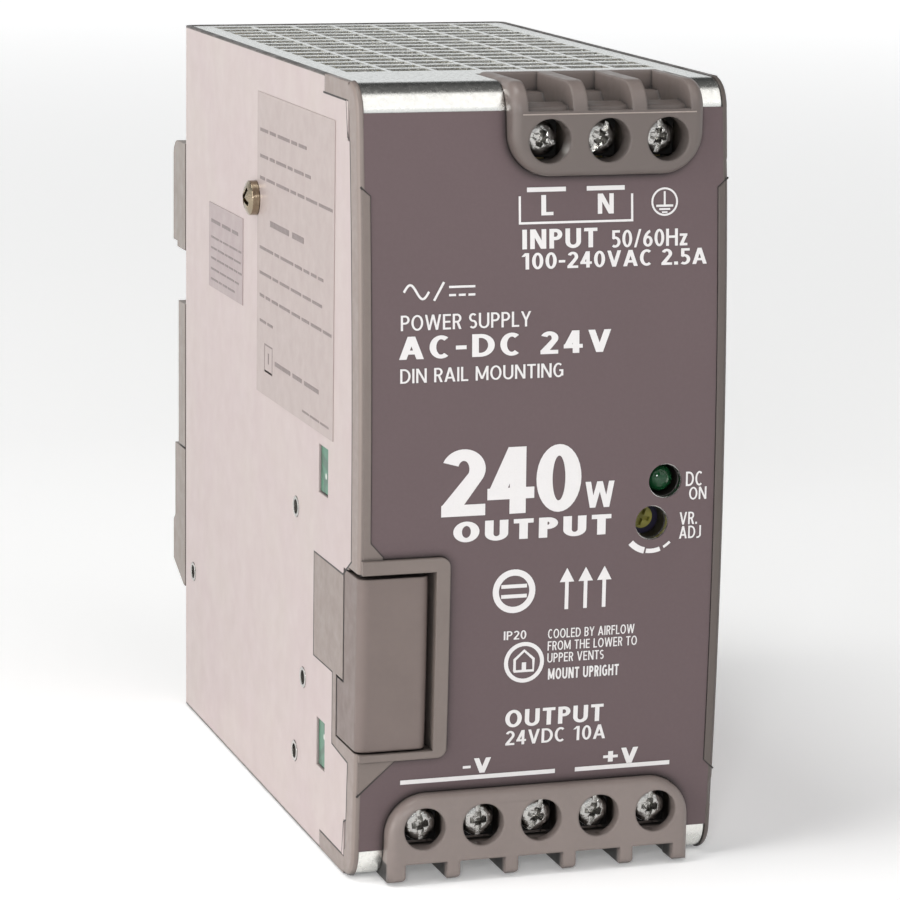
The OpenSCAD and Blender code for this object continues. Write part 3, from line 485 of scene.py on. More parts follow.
def label_paper(name, colour):
    """Coated paper: faint blotches, fibres and a little waviness."""
    s = Surface(name, colour, 0.42, Coat_Weight=0.1)
    s.tint(s.ramp(s.noise(8, 3), 0.4, 0.75, 0, 0.5), tuple(c * 0.95 for c in colour))
    s.tint(s.ramp(s.noise(0.4, 2), 0.5, 0.8, 0, 0.25), tuple(min(1, c * 1.05) for c in colour))
    s.vary_roughness(s.noise(3, 3), 0.36, 0.5)
    s.bump(s.noise(0.25, 2), 0.003)
    s.bump(s.noise(9, 2), 0.02, 0.5)
    return s.done()


def ink(name, colour):
    """Screen ink with a slightly uneven cover."""
    roughness = 0.5
    s = Surface(name, colour, roughness)
    s.tint(s.ramp(s.noise(0.25, 3), 0.5, 0.8, 0, 0.3), tuple(c * 0.85 for c in colour))
    s.vary_roughness(s.noise(0.5, 2), roughness - 0.05, roughness + 0.1)
    s.bump(s.noise(0.15, 2), 0.003)
    return s.done()


def lamp_lens(name, colour):
    """Unlit coloured lens with a clear gloss and slightly uneven depth of colour."""
    s = Surface(name, colour, 0.1, Coat_Weight=0.3, Coat_Roughness=0.02, Specular_IOR_Level=0.3)
    s.tint(s.ramp(s.noise(2, 2), 0.4, 0.7, 0, 0.5), tuple(c * 0.6 for c in colour))
    s.bump(s.noise(1.5, 2), 0.01, 0.4)
    return s.done()


def dress(material, *names):
    """Gives CAD nodes their material."""
    for name in names:
        mesh = nodes[name].data
        if not mesh.materials:
            mesh.materials.append(material)
        for i in range(len(mesh.materials)):
            mesh.materials[i] = material


# The front bezel's right edge, left side and lamp sleeves, and the terminal housings' holes, teeth sides
# and upper band, carry painted shade and painted light
plastic = moulded(
    "plastic_warm_grey", (0.180, 0.147, 0.132), painted_shade_edge=(28.25, 31), painted_light_side=(-31, -29.7),
    painted_shade_boxes=((16, 24, 1.2, 12, 58.6, 66), (14, 21.6, 1.2, 12, 52, 59.4)),
)
plastic_block = moulded(
    "plastic_terminals", (0.216, 0.178, 0.163), roughness=0.36, edge=0.6, painted_dim_band=(104, 121),
    painted_shade_bands=((111.7, 120.3, 4.6, 40), (4.6, 13.4, 2.6, 40), (-1, 3.3, 0.6, 40)),
)
plastic_cover = moulded("plastic_cover", (0.163, 0.127, 0.115), roughness=0.44, edge=0.5)
plastic_clip = moulded("plastic_clip", (0.232, 0.200, 0.178), grain=0.5)
plastic_latch = moulded("plastic_latch", (0.200, 0.172, 0.155), grain=0.5)
case_paint = sheet_metal("case_sheet", (0.466, 0.389, 0.381), 0.42, 0.2, (0.475, 0.413, 0.388))
# The bright sheet's slots and edges get painted shade
satin = bright_metal("satin_sheet", (0.83, 0.825, 0.79), 0.23, edge=0, hollows=1.0)
film = painted_film("front_film", (0.114, 0.080, 0.084))
print_ink = ink("print_ink", (0.70, 0.68, 0.675))
# Painted shadow for the dark gaps along the seams
painted_seam_shadow = ink("seam_shadow", (0.022, 0.018, 0.017))
zinc = bright_metal("zinc_screw", (0.50, 0.49, 0.47), 0.17, 0.5, 0.09)
nickel = bright_metal("nickel_screw", (0.34, 0.28, 0.20), 0.16, 0.9, 0.1)
spring_wire = bright_metal("spring_wire", (0.62, 0.62, 0.62), 0.28)
brass = bright_metal("contact_brass", (0.80, 0.66, 0.36), 0.3)
# Painted shade: the clamp plates deep in the terminal chambers are coloured near black
clamp_plate_in_shade = bright_metal("clamp_plate", (0.035, 0.034, 0.033), 0.5)
aluminium = bright_metal("heat_sink_aluminium", (0.78, 0.79, 0.80), 0.36, 0.3, 0.01, (1, 0.2, 1))
paper = label_paper("label_paper", (0.355, 0.294, 0.278))
paper_cool = label_paper("label_paper_cool", (0.314, 0.254, 0.251))
label_ink = ink("label_ink", (0.190, 0.155, 0.150))
label_ink_faint = ink("label_ink_faint", (0.188, 0.156, 0.154))
board_green = circuit_laminate("board_green", (0.030, 0.150, 0.085))
lamp_green = lamp_lens("lamp_green", (0.007, 0.052, 0.018))
trimmer_blue = glossy_part("trimmer_blue", (0.022, 0.018, 0.045), 0.4)
trimmer_yellow = glossy_part("trimmer_yellow", (0.30, 0.27, 0.05), 0.42, 0.6)
fuse_ceramic = glossy_part("fuse_ceramic", (0.66, 0.60, 0.48), 0.3)
varistor_blue = glossy_part("varistor_blue", (0.025, 0.075, 0.32), 0.28, coat=0.3)
thermistor_green = glossy_part("thermistor_green", (0.02, 0.09, 0.04), 0.35)
film_capacitor = glossy_part("film_capacitor", (0.62, 0.43, 0.04), 0.32)
package_black = glossy_part("package_black", (0.018, 0.018, 0.019), 0.5, 0.7)
sleeve_blue = glossy_part("capacitor_sleeve", (0.012, 0.016, 0.075), 0.25, coat=0.25)
ferrite = glossy_part("ferrite_black", (0.030, 0.030, 0.033), 0.6, 0.7)
tape = glossy_part("winding_tape", (0.60, 0.45, 0.06), 0.3, 0.9, 0.2)
copper_light = wound_wire("copper_light", (0.75, 0.36, 0.12), 1.2)
copper_dark = wound_wire("copper_dark", (0.62, 0.24, 0.07), 1.5)

dress(case_paint, "chassis")
dress(satin, "front_cover")
dress(film, "face_overlay")
dress(plastic, "front_bezel")
dress(plastic_cover, "option_cover")
dress(plastic_block, "input_terminal_block", "output_terminal_block")
dress(brass, "input_terminal_bars", "output_terminal_bars")
dress(clamp_plate_in_shade, *[n for n in nodes if "_clamp_" in n])
dress(zinc, *[n for n in nodes if "put_screw_" in n])
dress(zinc, "bracket_screws", "board_screws", "board_standoffs")
dress(plastic_clip, "rail_bracket")
dress(plastic_latch, "rail_latch")
dress(spring_wire, "latch_spring")
dress(nickel, "chassis_screw")
dress(paper, "caution_label")
dress(paper_cool, "terminal_label")
dress(board_green, "circuit_board", "indicator_board", "control_board")
dress(lamp_green, "power_led")
dress(trimmer_blue, "trimmer_body")
dress(trimmer_yellow, "trimmer_rotor")
dress(fuse_ceramic, "input_fuse")
dress(varistor_blue, "surge_varistor")
dress(thermistor_green, "inrush_thermistor")
dress(film_capacitor, "x_capacitors")
dress(copper_light, "emi_choke", "output_choke")
dress(copper_dark, "pfc_choke")
dress(package_black, "bridge_rectifier", "switching_transistors", "output_rectifiers")
dress(sleeve_blue, "bulk_capacitor", "output_capacitors")
dress(aluminium, "primary_heatsink", "output_heatsink")
dress(ferrite, "transformer_core")
dress(tape, "transformer_winding")

make_studio(make_camera())


# ---------------------------------------------------------------- flat marks
def link_mesh(name, bm, material, body):
    """A new piece that rides on a body and takes the given material."""
    obj = from_bmesh(name, bm)
    obj.data.materials.append(material)
    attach(obj, body)
    return obj


def front_skin(proud, sunk):
    """Gives the outer and inner point of a thin layer on the bowed front, for a place (x, z)."""
    return lambda x, z, lift: (place(x, bow(z) - proud - lift, z), place(x, bow(z) + sunk, z))


def side_skin(at, proud, sunk=0.02):
    """The same for a flat layer on the left side, for a place (y, z)."""
    return lambda y, z, lift: (place(-at - proud - lift, y, z), place(-at + sunk, y, z))


# How far the left side and the labels on it lie from the middle, in mm
side_at = 30.0
label_at = 30.12
# The layers, in mm proud and sunk, and the step between strips that cross
ink_layer = front_skin(0.03, 0.05)
seam_layer = front_skin(0.012, 0.05)
label_layer = side_skin(label_at, 0.03)
side_seam_layer = side_skin(side_at, 0.015)
crossing_lift = 0.004


def lay(bm, strip, layer, lift):
    """A closed thin body between a strip's left and right points."""
    left, right = strip
    rows = []
    for (xl, zl), (xr, zr) in zip(left, right):
        rows.append([bm.verts.new(p) for p in (*layer(xl, zl, lift), *layer(xr, zr, lift))])
    for a, b in zip(rows, rows[1:]):
        bm.faces.new((a[0], b[0], b[2], a[2]))
        bm.faces.new((a[1], a[3], b[3], b[1]))
        bm.faces.new((a[0], a[1], b[1], b[0]))
        bm.faces.new((a[2], b[2], b[3], a[3]))
    first, last = rows[0], rows[-1]
    bm.faces.new((first[0], first[2], first[3], first[1]))
    bm.faces.new((last[0], last[1], last[3], last[2]))


def marks(name, strips, material=None, layer=None):
    """One piece of thin strips; neighbours that cross lie at slightly different heights."""
    bm = bmesh.new()
    for i, strip in enumerate(strips):
        lay(bm, strip, layer or ink_layer, crossing_lift * (i % 4))
    bmesh.ops.recalc_face_normals(bm, faces=bm.faces)
    link_mesh(name, bm, material or print_ink, "case")


def bar(x0, x1, z0, z1):
    """An upright rectangle."""
    return [(x0, z0), (x0, z1)], [(x1, z0), (x1, z1)]


def slant(x0, z0, x1, z1, width):
    """A sloping stroke with level ends."""
    return [(x0, z0), (x1, z1)], [(x0 + width, z0), (x1 + width, z1)]


def sweep(cx, cz, rx, rz, wx, wz, start, end, steps=20):
    """Part of an elliptical band; its outer radii, its widths, and its angles in degrees."""
    outer, inner = [], []
    for i in range(steps + 1):
        a = math.radians(start + (end - start) * i / steps)
        outer.append((cx + rx * math.cos(a), cz + rz * math.sin(a)))
        inner.append((cx + (rx - wx) * math.cos(a), cz + (rz - wz) * math.sin(a)))
    return outer, inner


def ring(cx, cz, radius, width, start=0, end=360, steps=40):
    """A round band, whole or in part."""
    return sweep(cx, cz, radius, radius, width, width, start, end, steps)


def stroke(points, width):
    """A line of some width through points."""
    left, right = [], []
    for i, (x, z) in enumerate(points):
        a = points[max(i - 1, 0)]
        b = points[min(i + 1, len(points) - 1)]
        along = math.hypot(b[0] - a[0], b[1] - a[1])
        nx, nz = (a[1] - b[1]) / along * width / 2, (b[0] - a[0]) / along * width / 2
        left.append((x + nx, z + nz))
        right.append((x - nx, z - nz))
    return left, right


def closed(points, width):
    """A closed line: its last stretch runs a little over its first."""
    return stroke([*points, points[0], points[1]], width)


# ---------------------------------------------------------------- plain lettering
def glyph(c, t):
    """A plain sans capital or figure, 1 high: its width and its strips. t is the stems' width."""
    h = t * 0.86
    if c == "A":
        w = 0.74
        d = t * 1.1
        return w, [slant(0, 0, w / 2 - d / 2, 1, d), slant(w - d, 0, w / 2 - d / 2, 1, d),
                   bar(w * 0.2, w * 0.8, 0.22, 0.22 + h)]
    if c == "C":
        w = 0.62
        return w, [sweep(w * 0.56, 0.5, w * 0.56, 0.51, t, h, 52, 308)]
    if c == "D":
        w = 0.68
        return w, [bar(0, t, 0, 1), bar(t, w - 0.42, 0, h), bar(t, w - 0.42, 1 - h, 1),
                   sweep(w - 0.42, 0.5, 0.42, 0.5, t, h, -90, 90)]
    if c == "B":
        w, r = 0.56, (1 + h) / 4
        return w, [bar(0, t, 0, 1), bar(t, w - r, 1 - h, 1), bar(t, w - r, 0.5 - h / 2, 0.5 + h / 2),
                   bar(t, w - r, 0, h), sweep(w - r, 1 - r, r, r, t, h, -90, 90),
                   sweep(w - r, r, r, r, t, h, -90, 90)]
    if c == "E":
        return 0.52, [bar(0, t, 0, 1), bar(t, 0.52, 1 - h, 1), bar(t, 0.48, 0.5 - h / 2, 0.5 + h / 2),
                      bar(t, 0.52, 0, h)]
    if c == "F":
        return 0.5, [bar(0, t, 0, 1), bar(t, 0.5, 1 - h, 1), bar(t, 0.46, 0.46, 0.46 + h)]
    if c == "G":
        w = 0.68
        return w, [sweep(w * 0.52, 0.5, w * 0.52, 0.51, t, h, 52, 330), bar(w - t, w, 0.1, 0.5),
                   bar(w * 0.6, w, 0.42, 0.42 + h)]
    if c == "H":
        w = 0.68
        return w, [bar(0, t, 0, 1), bar(w - t, w, 0, 1), bar(t, w - t, 0.46, 0.46 + h)]
    if c == "I":
        return t, [bar(0, t, 0, 1)]
    if c == "J":
        w = 0.42
        return w, [bar(w - t, w, 0.24, 1), sweep(w - 0.34, 0.24, 0.34, 0.26, t, h, -105, 0)]
    if c == "L":
        return 0.48, [bar(0, t, 0, 1), bar(t, 0.48, 0, h)]
    if c == "M":
        w = 0.86
        return w, [bar(0, t, 0, 1), bar(w - t, w, 0, 1), slant(w / 2 - t / 2, 0.1, 0, 1, t),
                   slant(w / 2 - t / 2, 0.1, w - t, 1, t)]
    if c == "N":
        w = 0.7
        return w, [bar(0, t, 0, 1), bar(w - t, w, 0, 1), slant(w - t * 1.15, 0, 0, 1, t * 1.15)]
    if c == "O":
        w = 0.76
        return w, [sweep(w / 2, 0.5, w / 2, 0.51, t, h, 0, 360, 32)]
    if c in "PR":
        w = 0.56
        strips = [bar(0, t, 0, 1), bar(t, w - 0.29, 1 - h, 1), bar(t, w - 0.29, 0.42, 0.42 + h),
                  sweep(w - 0.29, 0.71, 0.29, 0.29, t, h, -90, 90)]
        if c == "R":
            strips.append(slant(w - t * 1.05, 0, w * 0.42, 0.46, t * 1.1))
        return w, strips
    if c == "S":
        w, r = 0.52, (1 + h) / 4
        return w, [sweep(w / 2, 1 - r, w / 2, r, t, h, 38, 270),
                   sweep(w / 2, r, w / 2, r, t, h, 90, -142)]
    if c == "T":
        w = 0.58
        return w, [bar(0, w, 1 - h, 1), bar(w / 2 - t / 2, w / 2 + t / 2, 0, 1 - h)]
    if c == "U":
        w = 0.68
        return w, [bar(0, t, 0.34, 1), bar(w - t, w, 0.34, 1),
                   sweep(w / 2, 0.34, w / 2, 0.35, t, h, 180, 360)]
    if c == "V":
        w = 0.7
        d = t * 1.04
        return w, [slant(w / 2 - d / 2, 0, 0, 1, d), slant(w / 2 - d / 2, 0, w - d, 1, d)]
    if c == "W":
        w, d = 1.04, t * 0.98
        left, right, peak = w * 0.26 - d / 2, w * 0.74 - d / 2, w * 0.5 - d / 2
        return w, [slant(left, 0, 0, 1, d), slant(left, 0, peak, 1, d),
                   slant(right, 0, peak, 1, d), slant(right, 0, w - d, 1, d)]
    if c == "Y":
        w = 0.66
        return w, [bar(w / 2 - t / 2, w / 2 + t / 2, 0, 0.46), slant(w / 2 - t / 2, 0.42, 0, 1, t),
                   slant(w / 2 - t / 2, 0.42, w - t, 1, t)]
    if c == "z":
        w = 0.44
        return w, [bar(0, w, 0, h), bar(0, w, 0.7 - h, 0.7),
                   slant(0, h * 0.6, w - t * 1.2, 0.7 - h * 0.6, t * 1.2)]
    if c == "0":
        w = 0.56
        return w, [sweep(w / 2, 0.5, w / 2, 0.51, t, h, 0, 360, 32)]
    if c == "1":
        w = 0.42
        return w, [bar(w - t - 0.04, w - 0.04, 0, 1),
                   slant(0.0, 0.78, w - t - 0.04 - t * 0.2, 1, t * 0.9)]
    if c == "2":
        w, r = 0.54, 0.3
        turn = sweep(w / 2, 1 - r, w / 2, r, t, h, 158, -28)
        (ox, oz), (ix, iz) = turn[0][-1], turn[1][-1]
        return w, [turn, ([(ox, oz), (t * 1.35, h * 0.9)], [(ix, iz), (0, h * 0.9)]), bar(0, w, 0, h)]
    if c == "4":
        w = 0.58
        return w, [bar(w * 0.82 - t, w * 0.82, 0, 1), bar(0, w, 0.22, 0.22 + h),
                   slant(0, 0.22 + h * 0.5, w * 0.82 - t * 1.1, 1, t * 1.1)]
    if c == "5":
        w = 0.52
        return w, [bar(w * 0.1, w * 0.94, 1 - h, 1), bar(w * 0.1, w * 0.1 + t * 0.95, 0.5, 1),
                   sweep(w * 0.42, 0.315, w * 0.58, 0.325, t, h, 128, -128)]
    if c == "6":
        w = 0.54
        return w, [sweep(w / 2, 0.31, w / 2, 0.32, t, h, 0, 360, 28),
                   sweep(w, 0.31, w, 0.69, t, h, 180, 108)]
    if c == "/":
        return 0.42, [slant(0, -0.03, 0.42 - t * 0.8, 1.03, t * 0.8)]
    if c == "-":
        return 0.32, [bar(0, 0.32, 0.36, 0.36 + h)]
    if c == "+":
        w = 0.6
        return w, [bar(0, w, 0.42, 0.42 + h), bar(w / 2 - t / 2, w / 2 + t / 2, 0.17, 0.42 + h + 0.25)]
    if c == ".":
        return t * 1.1, [bar(0, t * 1.1, 0, t * 1.1)]
    return 0.26, []


def word(name, text, x0, x1, z0, z1, weight=0.15, gap=0.13):
    """Lays plain lettering on the front between two edges, a baseline and a cap line."""
    strips, at = [], 0.0
    for c in text:
        width, made = glyph(c, weight)
        strips += [tuple([(px + at, pz) for px, pz in edge] for edge in strip) for strip in made]
        at += width + gap
    scale = (x1 - x0) / (at - gap)
    marks(name, [
        tuple([(x0 + px * scale, z0 + pz * (z1 - z0)) for px, pz in edge] for edge in strip)
        for strip in strips
    ])


# Input legends
marks("mark_input_bars", [bar(-3.2, 3.1, 108.1, 108.8), bar(6.5, 12.7, 108.1, 108.8)])
marks("mark_input_bracket", [
    bar(-4.55, -4.2, 103.2, 107.5), bar(13.75, 14.1, 103.2, 107.5), bar(-4.55, 14.1, 103.2, 103.55),
])
word("mark_line", "L", -0.9, 1.05, 104.5, 107.6, 0.19)
word("mark_neutral", "N", 8.3, 10.9, 104.5, 107.6, 0.19)
word("mark_input", "INPUT", -4.0, 8.2, 99.4, 102.4, 0.2, 0.14)
word("mark_frequency", "50/60Hz", 10.5, 23.05, 99.25, 101.9, 0.165, 0.11)
word("mark_input_rating", "100-240VAC 2.5A", -4.15, 26.3, 96.3, 98.8, 0.175, 0.11)
marks("mark_earth_ring", [ring(19.3, 106.1, 2.2, 0.3, steps=32)])
marks("mark_earth", [
    bar(19.15, 19.45, 105.65, 107.7), bar(17.9, 20.7, 105.3, 105.65),
    bar(18.4, 20.2, 104.8, 105.1), bar(18.85, 19.75, 104.35, 104.6),
])

# Name lines: generic words and a conversion symbol in place of the maker's
marks("mark_convert", [
    stroke([(-23.0 + t * 0.25, 93.4 + 1.1 * math.sin(t * math.pi / 8)) for t in range(17)], 0.36),
    stroke([(-18.2, 92.0), (-16.6, 94.8)], 0.36),
    bar(-15.8, -11.6, 93.85, 94.2),
    bar(-15.8, -14.7, 92.6, 92.95), bar(-14.25, -13.15, 92.6, 92.95), bar(-12.7, -11.6, 92.6, 92.95),
])
word("mark_kind", "POWER SUPPLY", -23.5, -2.6, 87.55, 89.9, 0.14, 0.12)
word("mark_type", "AC-DC 24V", -23.8, 10.5, 83.15, 86.65, 0.2, 0.17)
word("mark_mounting", "DIN RAIL MOUNTING", -23.6, 2.7, 79.5, 81.7, 0.14, 0.12)

# Power and output
word("mark_power", "240", -16.9, 5.9, 58.4, 68.9, 0.2, 0.025)
word("mark_watt", "W", 6.6, 11.4, 58.65, 62.8, 0.2)
word("mark_output", "OUTPUT", -14.9, 11.0, 54.3, 57.5, 0.25, 0.16)
word("mark_dc", "DC", 23.35, 26.15, 61.3, 63.6, 0.15)
word("mark_on", "ON", 23.95, 26.85, 59.1, 61.1, 0.15)
word("mark_vr", "VR.", 22.45, 25.4, 55.15, 57.15, 0.15)
word("mark_adjust", "ADJ", 22.45, 26.1, 52.9, 54.9, 0.15)
marks("mark_trim_arcs", [
    ring(17.7, 55.7, 5.0, 1.0, 222, 256, 8),
    ring(17.7, 55.7, 4.85, 0.7, 260, 290, 8),
    ring(17.7, 55.7, 4.7, 0.4, 298, 315, 6),
])

# Plain symbols in place of the certification marks
marks("mark_round_upper", [
    ring(-4.8, 46.0, 3.5, 1.0),
    bar(-6.9, -2.7, 44.9, 45.5),
    bar(-6.9, -2.7, 46.5, 47.1),
])
marks("mark_airflow", [
    strip for x in (3.9, 7.0, 10.1) for strip in (
        bar(x - 0.3, x + 0.3, 42.6, 47.4),
        ([(x - 1.2, 47.0), (x - 0.02, 49.2)], [(x + 1.2, 47.0), (x + 0.02, 49.2)]),
    )
])
marks("mark_indoor", [
    ring(-2.85, 34.4, 3.3, 0.65),
    closed([(-4.4, 33.0), (-4.4, 34.9), (-2.85, 36.3), (-1.3, 34.9), (-1.3, 33.0)], 0.45),
    bar(-3.2, -2.5, 33.0, 34.4),
])

# Small print, a few neutral words
word("mark_cooling_1", "COOLED BY AIRFLOW", 1.0, 15.4, 38.0, 39.5, 0.15, 0.13)
word("mark_cooling_2", "FROM THE LOWER TO", 1.0, 15.9, 36.05, 37.55, 0.15, 0.13)
word("mark_cooling_3", "UPPER VENTS", 1.0, 10.4, 34.1, 35.6, 0.15, 0.13)
word("mark_upright", "MOUNT UPRIGHT", 1.2, 13.0, 31.3, 33.1, 0.2, 0.14)
word("mark_protection", "IP20", -6.3, -2.6, 38.2, 39.6, 0.15, 0.13)


# ---------------------------------------------------------------- print of the side labels
def plain_rows(name, rows, material, seed):
    """Rows of plain dashes on the side labels, as long as words would be; they spell nothing.

    A row is its height up the case, how tall it is, and its front and rear ends.
    """
    rng = random.Random(seed)
    strips = []
    for z, height, front, rear in rows:
        at = front
        low, high = z + height * 0.22, z + height * 0.46
        while at > rear + height * 0.8:
            end = max(at - height * rng.uniform(1.2, 4.2), rear)
            strips.append(bar(end, at, low, high))
            at = end - height * 0.5
    marks(name, strips, material, label_layer)


plain_rows("caution_print", [
    (111.3, 2.3, 59.6, 31), (107.0, 2.2, 59.6, 28), (103.4, 2.1, 59.6, 15.8), (95.8, 4.0, 53.0, 32.4),
    (91.8, 2.05, 59.6, 20.8), (87.6, 2.0, 59.6, 19.0), (83.8, 2.05, 59.5, 15.9), (79.6, 1.9, 59.4, 51.2),
    (73.4, 2.9, 49.6, 20.6), (69.2, 1.4, 32.6, 16.9),
], label_ink, 7)
plain_rows("terminal_print", [
    (91.7, 2.5, 92.9, 70.9), (89.2, 1.4, 92.9, 71.9), (87.3, 1.4, 92.9, 72.4), (85.5, 1.4, 92.9, 71.6),
    (83.6, 1.4, 92.9, 73.5), (81.8, 1.4, 92.9, 75.0),
], label_ink_faint, 9)
marks("caution_symbol", [
    closed([(56.2, 72.2), (51.4, 72.2), (51.4, 76.6), (56.2, 76.6)], 0.35), bar(53.5, 54.1, 73.6, 75.4),
], label_ink, label_layer)

# Output legends
word("mark_output_lower", "OUTPUT", -5.65, 10.7, 23.9, 26.7, 0.2, 0.14)
word("mark_output_rating", "24VDC 10A", -5.5, 11.15, 20.95, 23.3, 0.16, 0.12)
word("mark_minus_v", "-V", -12.4, -7.8, 16.75, 19.2, 0.2)
word("mark_plus_v", "+V", 11.0, 16.85, 16.5, 19.1, 0.2)
marks("mark_output_bars", [bar(-22.6, 2.95, 15.75, 16.45), bar(6.3, 22.3, 15.75, 16.45)])


# ---------------------------------------------------------------- painted seam shadows and a painted highlight line
# Depths in case mm: the parting line's bead (with a painted highlight) at its outer and inner face, and
# the side panel behind the bow
line_front = -0.47
line_rear = -0.3
panel_setback = 4.25


def input_face(x, z, lift):
    """Outer and inner point of the parting line on the input housing's flat front, a bead coloured as a
    painted highlight.
    """
    return place(x, line_front, z), place(x, line_rear, z)


# The parting line is a real edge of the housing; the bead's light colour is a painted highlight
mould_line = bright_metal("mould_line", (0.40, 0.34, 0.31), 0.4, edge=0.08)
marks("input_mould_line", [bar(-4.9, 23.3, 120.12, 120.34)], mould_line, input_face)

# Where the film ends and the moulded edge begins, from the middle of the front in mm
strip_edge = 28.2
# Painted shadow: dark strips along the seams between the film and the moulded edges
marks("front_seams", [
    stroke([(-29.7, 49.9), (-26.2, 49.9), (-26.2, 52.6), (-strip_edge, 54.9), (-strip_edge, 108.1),
            (-29.7, 109.5)], 0.3),
    stroke([(29.9, 109.6), (strip_edge, 108.1), (strip_edge, 16.1), (29.9, 14.5)], 0.3),
    stroke([(-29.7, 14.2), (-23.8, 19.7), (-23.8, 21)], 0.3),
], painted_seam_shadow, seam_layer)


def panel_seam(z_from, z_to, steps=16):
    """Points down the line where the side panel meets the moulded edge."""
    heights = [z_from + (z_to - z_from) * i / steps for i in range(steps + 1)]
    return [(bow(z) + panel_setback, z) for z in heights]


# Painted shadow along the seams between the side panel and the moulded edge
marks("side_seams", [
    stroke([(22, 121.9), (9.3, 121.9), (8.3, 116.4), *panel_seam(115.9, 51.4), (3.9, 51.3), (8.8, 48.2),
            (25.4, 48.2), (25.4, 31.1), (14.3, 31.1), (14.3, 19.4), (5.4, 18.7), *panel_seam(18.6, 9.2),
            (7.3, 8.6), (8.2, 3.1), (21, 3.1)], 0.3),
    stroke([(8.2, 49.2), (8.2, 31), (11.9, 31), (11.9, 21.5)], 0.22),
], painted_seam_shadow, side_seam_layer)


# ---------------------------------------------------------------- screws
def revolve(bm, profile, x, z, steps=56):
    """A body turned about the line through x and z along Y, from (radius, y) points."""
    rings = []
    for radius, y in profile:
        circle = []
        for i in range(steps):
            a = 2 * math.pi * i / steps
            circle.append(bm.verts.new(place(x + radius * math.cos(a), y, z + radius * math.sin(a))))
        rings.append(circle)
    for a, b in zip(rings, rings[1:]):
        for i in range(steps):
            j = (i + 1) % steps
            bm.faces.new((a[i], a[j], b[j], b[i]))
    bm.faces.new(list(reversed(rings[0])))
    bm.faces.new(rings[-1])
    bmesh.ops.recalc_face_normals(bm, faces=bm.faces)


def tapered_cut(name, x, y, z, half_length, half_width, depth, taper, turn):
    """A block that narrows with depth, to cut one arm of a recess."""
    bm = bmesh.new()
    corners = []
    for at, shrink in ((y - 1, 1.0), (y + depth, taper)):
        for sx, sz in ((-1, -1), (1, -1), (1, 1), (-1, 1)):
            px, pz = sx * half_length * shrink, sz * half_width * shrink
            c, s = math.cos(turn), math.sin(turn)
            corners.append(bm.verts.new(place(x + px * c - pz * s, at, z + px * s + pz * c)))
    for f in ((0, 1, 2, 3), (4, 7, 6, 5), (0, 4, 5, 1), (1, 5, 6, 2), (2, 6, 7, 3), (3, 7, 4, 0)):
        bm.faces.new([corners[i] for i in f])
    bmesh.ops.recalc_face_normals(bm, faces=bm.faces)
    return from_bmesh(name, bm)


def carved(obj, cutters):
    """Cuts bodies out of an object, leaves the result in it and takes the cutters away."""
    for cutter in cutters:
        cut = obj.modifiers.new("cut", "BOOLEAN")
        cut.object = cutter
        cut.solver = "EXACT"
    bpy.context.view_layer.update()
    graph = bpy.context.evaluated_depsgraph_get()
    mesh = bpy.data.meshes.new_from_object(obj.evaluated_get(graph))
    obj.modifiers.clear()
    obj.data = mesh
    for cutter in cutters:
        bpy.data.objects.remove(cutter)


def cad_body(node):
    """The body that a CAD node rides on."""
    return nodes[node].parent.name.split(":", 1)[-1] if nodes[node].parent else "case"


# Terminal screws in mm: radii, head height and thread. The slot and the cross recess's arms
# have a half length, a half width, a depth and the share of their size kept at the bottom.
head_r = 2.74
shaft_r = 1.5
head = 2.1
screw_pitch = 0.6
thread_depth = 0.18
driver_slot = (head_r + 1, 0.42, 0.75, 0.9)
recess_arm = (1.75, 0.62, 1.75, 0.42)
# How far round each screw stands, in degrees
input_turns = (160, 60, 85)
output_turns = (96, 90, 68, 80, 84)


def terminal_screw(node, turn):
    """A domed combination-head terminal screw in place of the plain CAD one."""
    low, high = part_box(node)
    middle = ((low + high) / 2 - origin) / mm
    x, z = middle.x, middle.z
    front = (low.y - origin.y) / mm
    end = (high.y - origin.y) / mm
    dome = ((0.6, 0), (1.4, 0.05), (2.05, 0.19), (2.42, 0.42), (2.64, 0.72), (head_r, 1.1))
    profile = [(radius, front + sunk) for radius, sunk in dome]
    profile += [(head_r, front + head), (shaft_r, front + head)]
    turns = int((end - front - head - 0.4) / screw_pitch)
    for i in range(turns):
        y = front + head + 0.3 + i * screw_pitch
        profile += [(shaft_r - thread_depth, y), (shaft_r, y + screw_pitch / 2)]
    profile += [(shaft_r * 0.8, end)]
    bm = bmesh.new()
    revolve(bm, profile, x, z)
    obj = link_mesh(node + "_shown", bm, zinc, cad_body(node))
    cutters = [
        tapered_cut("slot", x, front, z, *driver_slot, turn),
        tapered_cut("arm_a", x, front, z, *recess_arm, turn),
        tapered_cut("arm_b", x, front, z, *recess_arm, turn + math.pi / 2),
    ]
    carved(obj, cutters)
    for polygon in obj.data.polygons:
        polygon.use_smooth = polygon.normal.y > -0.9999 and len(polygon.vertices) == 4
    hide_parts(node)


for i, turn in enumerate(input_turns, 1):
    terminal_screw(f"input_screw_{i}", math.radians(turn))
for i, turn in enumerate(output_turns, 1):
    terminal_screw(f"output_screw_{i}", math.radians(turn))


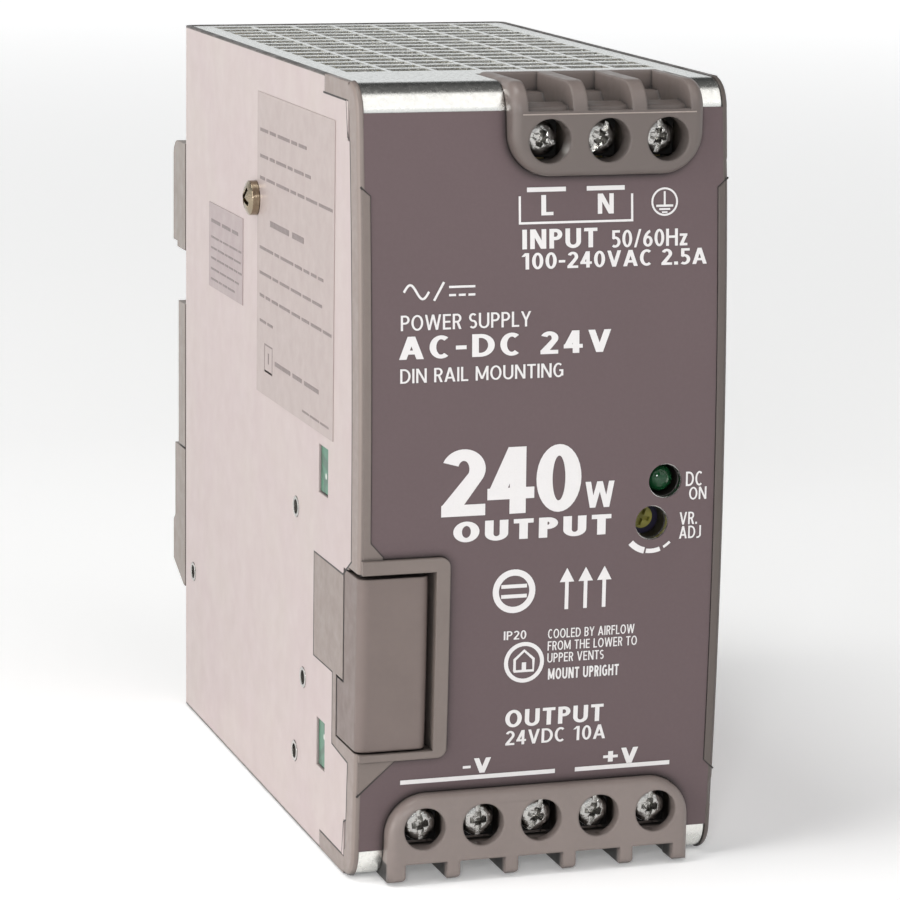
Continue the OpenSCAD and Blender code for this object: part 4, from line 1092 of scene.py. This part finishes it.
# ---------------------------------------------------------------- copies of CAD nodes
# The output housing's teeth in mm: their pitch and number, half widths inside and at both
# ends, their lower edge, its corners' radii, and the depths that the cutters run between
pole_pitch = 9.6
teeth = 6
half_tooth = 1.05
half_end_tooth = 1.7
tooth_bottom = 0.4
left_corner_r = 0.35
right_corner_r = 0.95
cut_front = -3
cut_rear = 22


def shown_copy(node):
    """A piece with a CAD node's shape, place and material, to be changed and shown in its stead."""
    fixed = nodes[node]
    shown = bpy.data.objects.new(node + "_shown", fixed.data.copy())
    scene.collection.objects.link(shown)
    shown.matrix_world = fixed.matrix_world.copy()
    return shown


def corner_cut(x, z, side, radius, steps=8):
    """A long body that rounds off one lower edge, at x and z, whose outside lies towards side."""
    outline = [(x + side, z - 1), (x + side, z + radius)]
    for i in range(steps + 1):
        angle = math.pi / 2 * i / steps
        outline.append((
            x - side * radius * (1 - math.cos(angle)),
            z + radius * (1 - math.sin(angle)),
        ))
    outline.append((x - side * radius, z - 1))
    bm = bmesh.new()
    near = [bm.verts.new(place(cx, cut_front, cz)) for cx, cz in outline]
    far = [bm.verts.new(place(cx, cut_rear, cz)) for cx, cz in outline]
    bm.faces.new(near)
    bm.faces.new(far[::-1])
    for i in range(len(outline)):
        j = (i + 1) % len(outline)
        bm.faces.new((near[i], far[i], far[j], near[j]))
    bmesh.ops.recalc_face_normals(bm, faces=bm.faces)
    return from_bmesh("corner", bm)


def rounded_teeth(node):
    """The output housing with both lower corners of each tooth rounded off."""
    shown = shown_copy(node)
    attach(shown, "case")
    cutters = []
    for i in range(teeth):
        middle = (i - (teeth - 1) / 2) * pole_pitch
        half = half_end_tooth if i in (0, teeth - 1) else half_tooth
        cutters.append(corner_cut(middle - half, tooth_bottom, -1, left_corner_r))
        cutters.append(corner_cut(middle + half, tooth_bottom, 1, right_corner_r))
    carved(shown, cutters)
    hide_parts(node)


def squeezed_coil(node):
    """A copy of the latch's spring with a mesh of its own, shown in place of the CAD node."""
    coil = shown_copy(node)
    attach(coil, "case")
    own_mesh(coil)
    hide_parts(node)


rounded_teeth("output_terminal_block")
squeezed_coil("latch_spring")
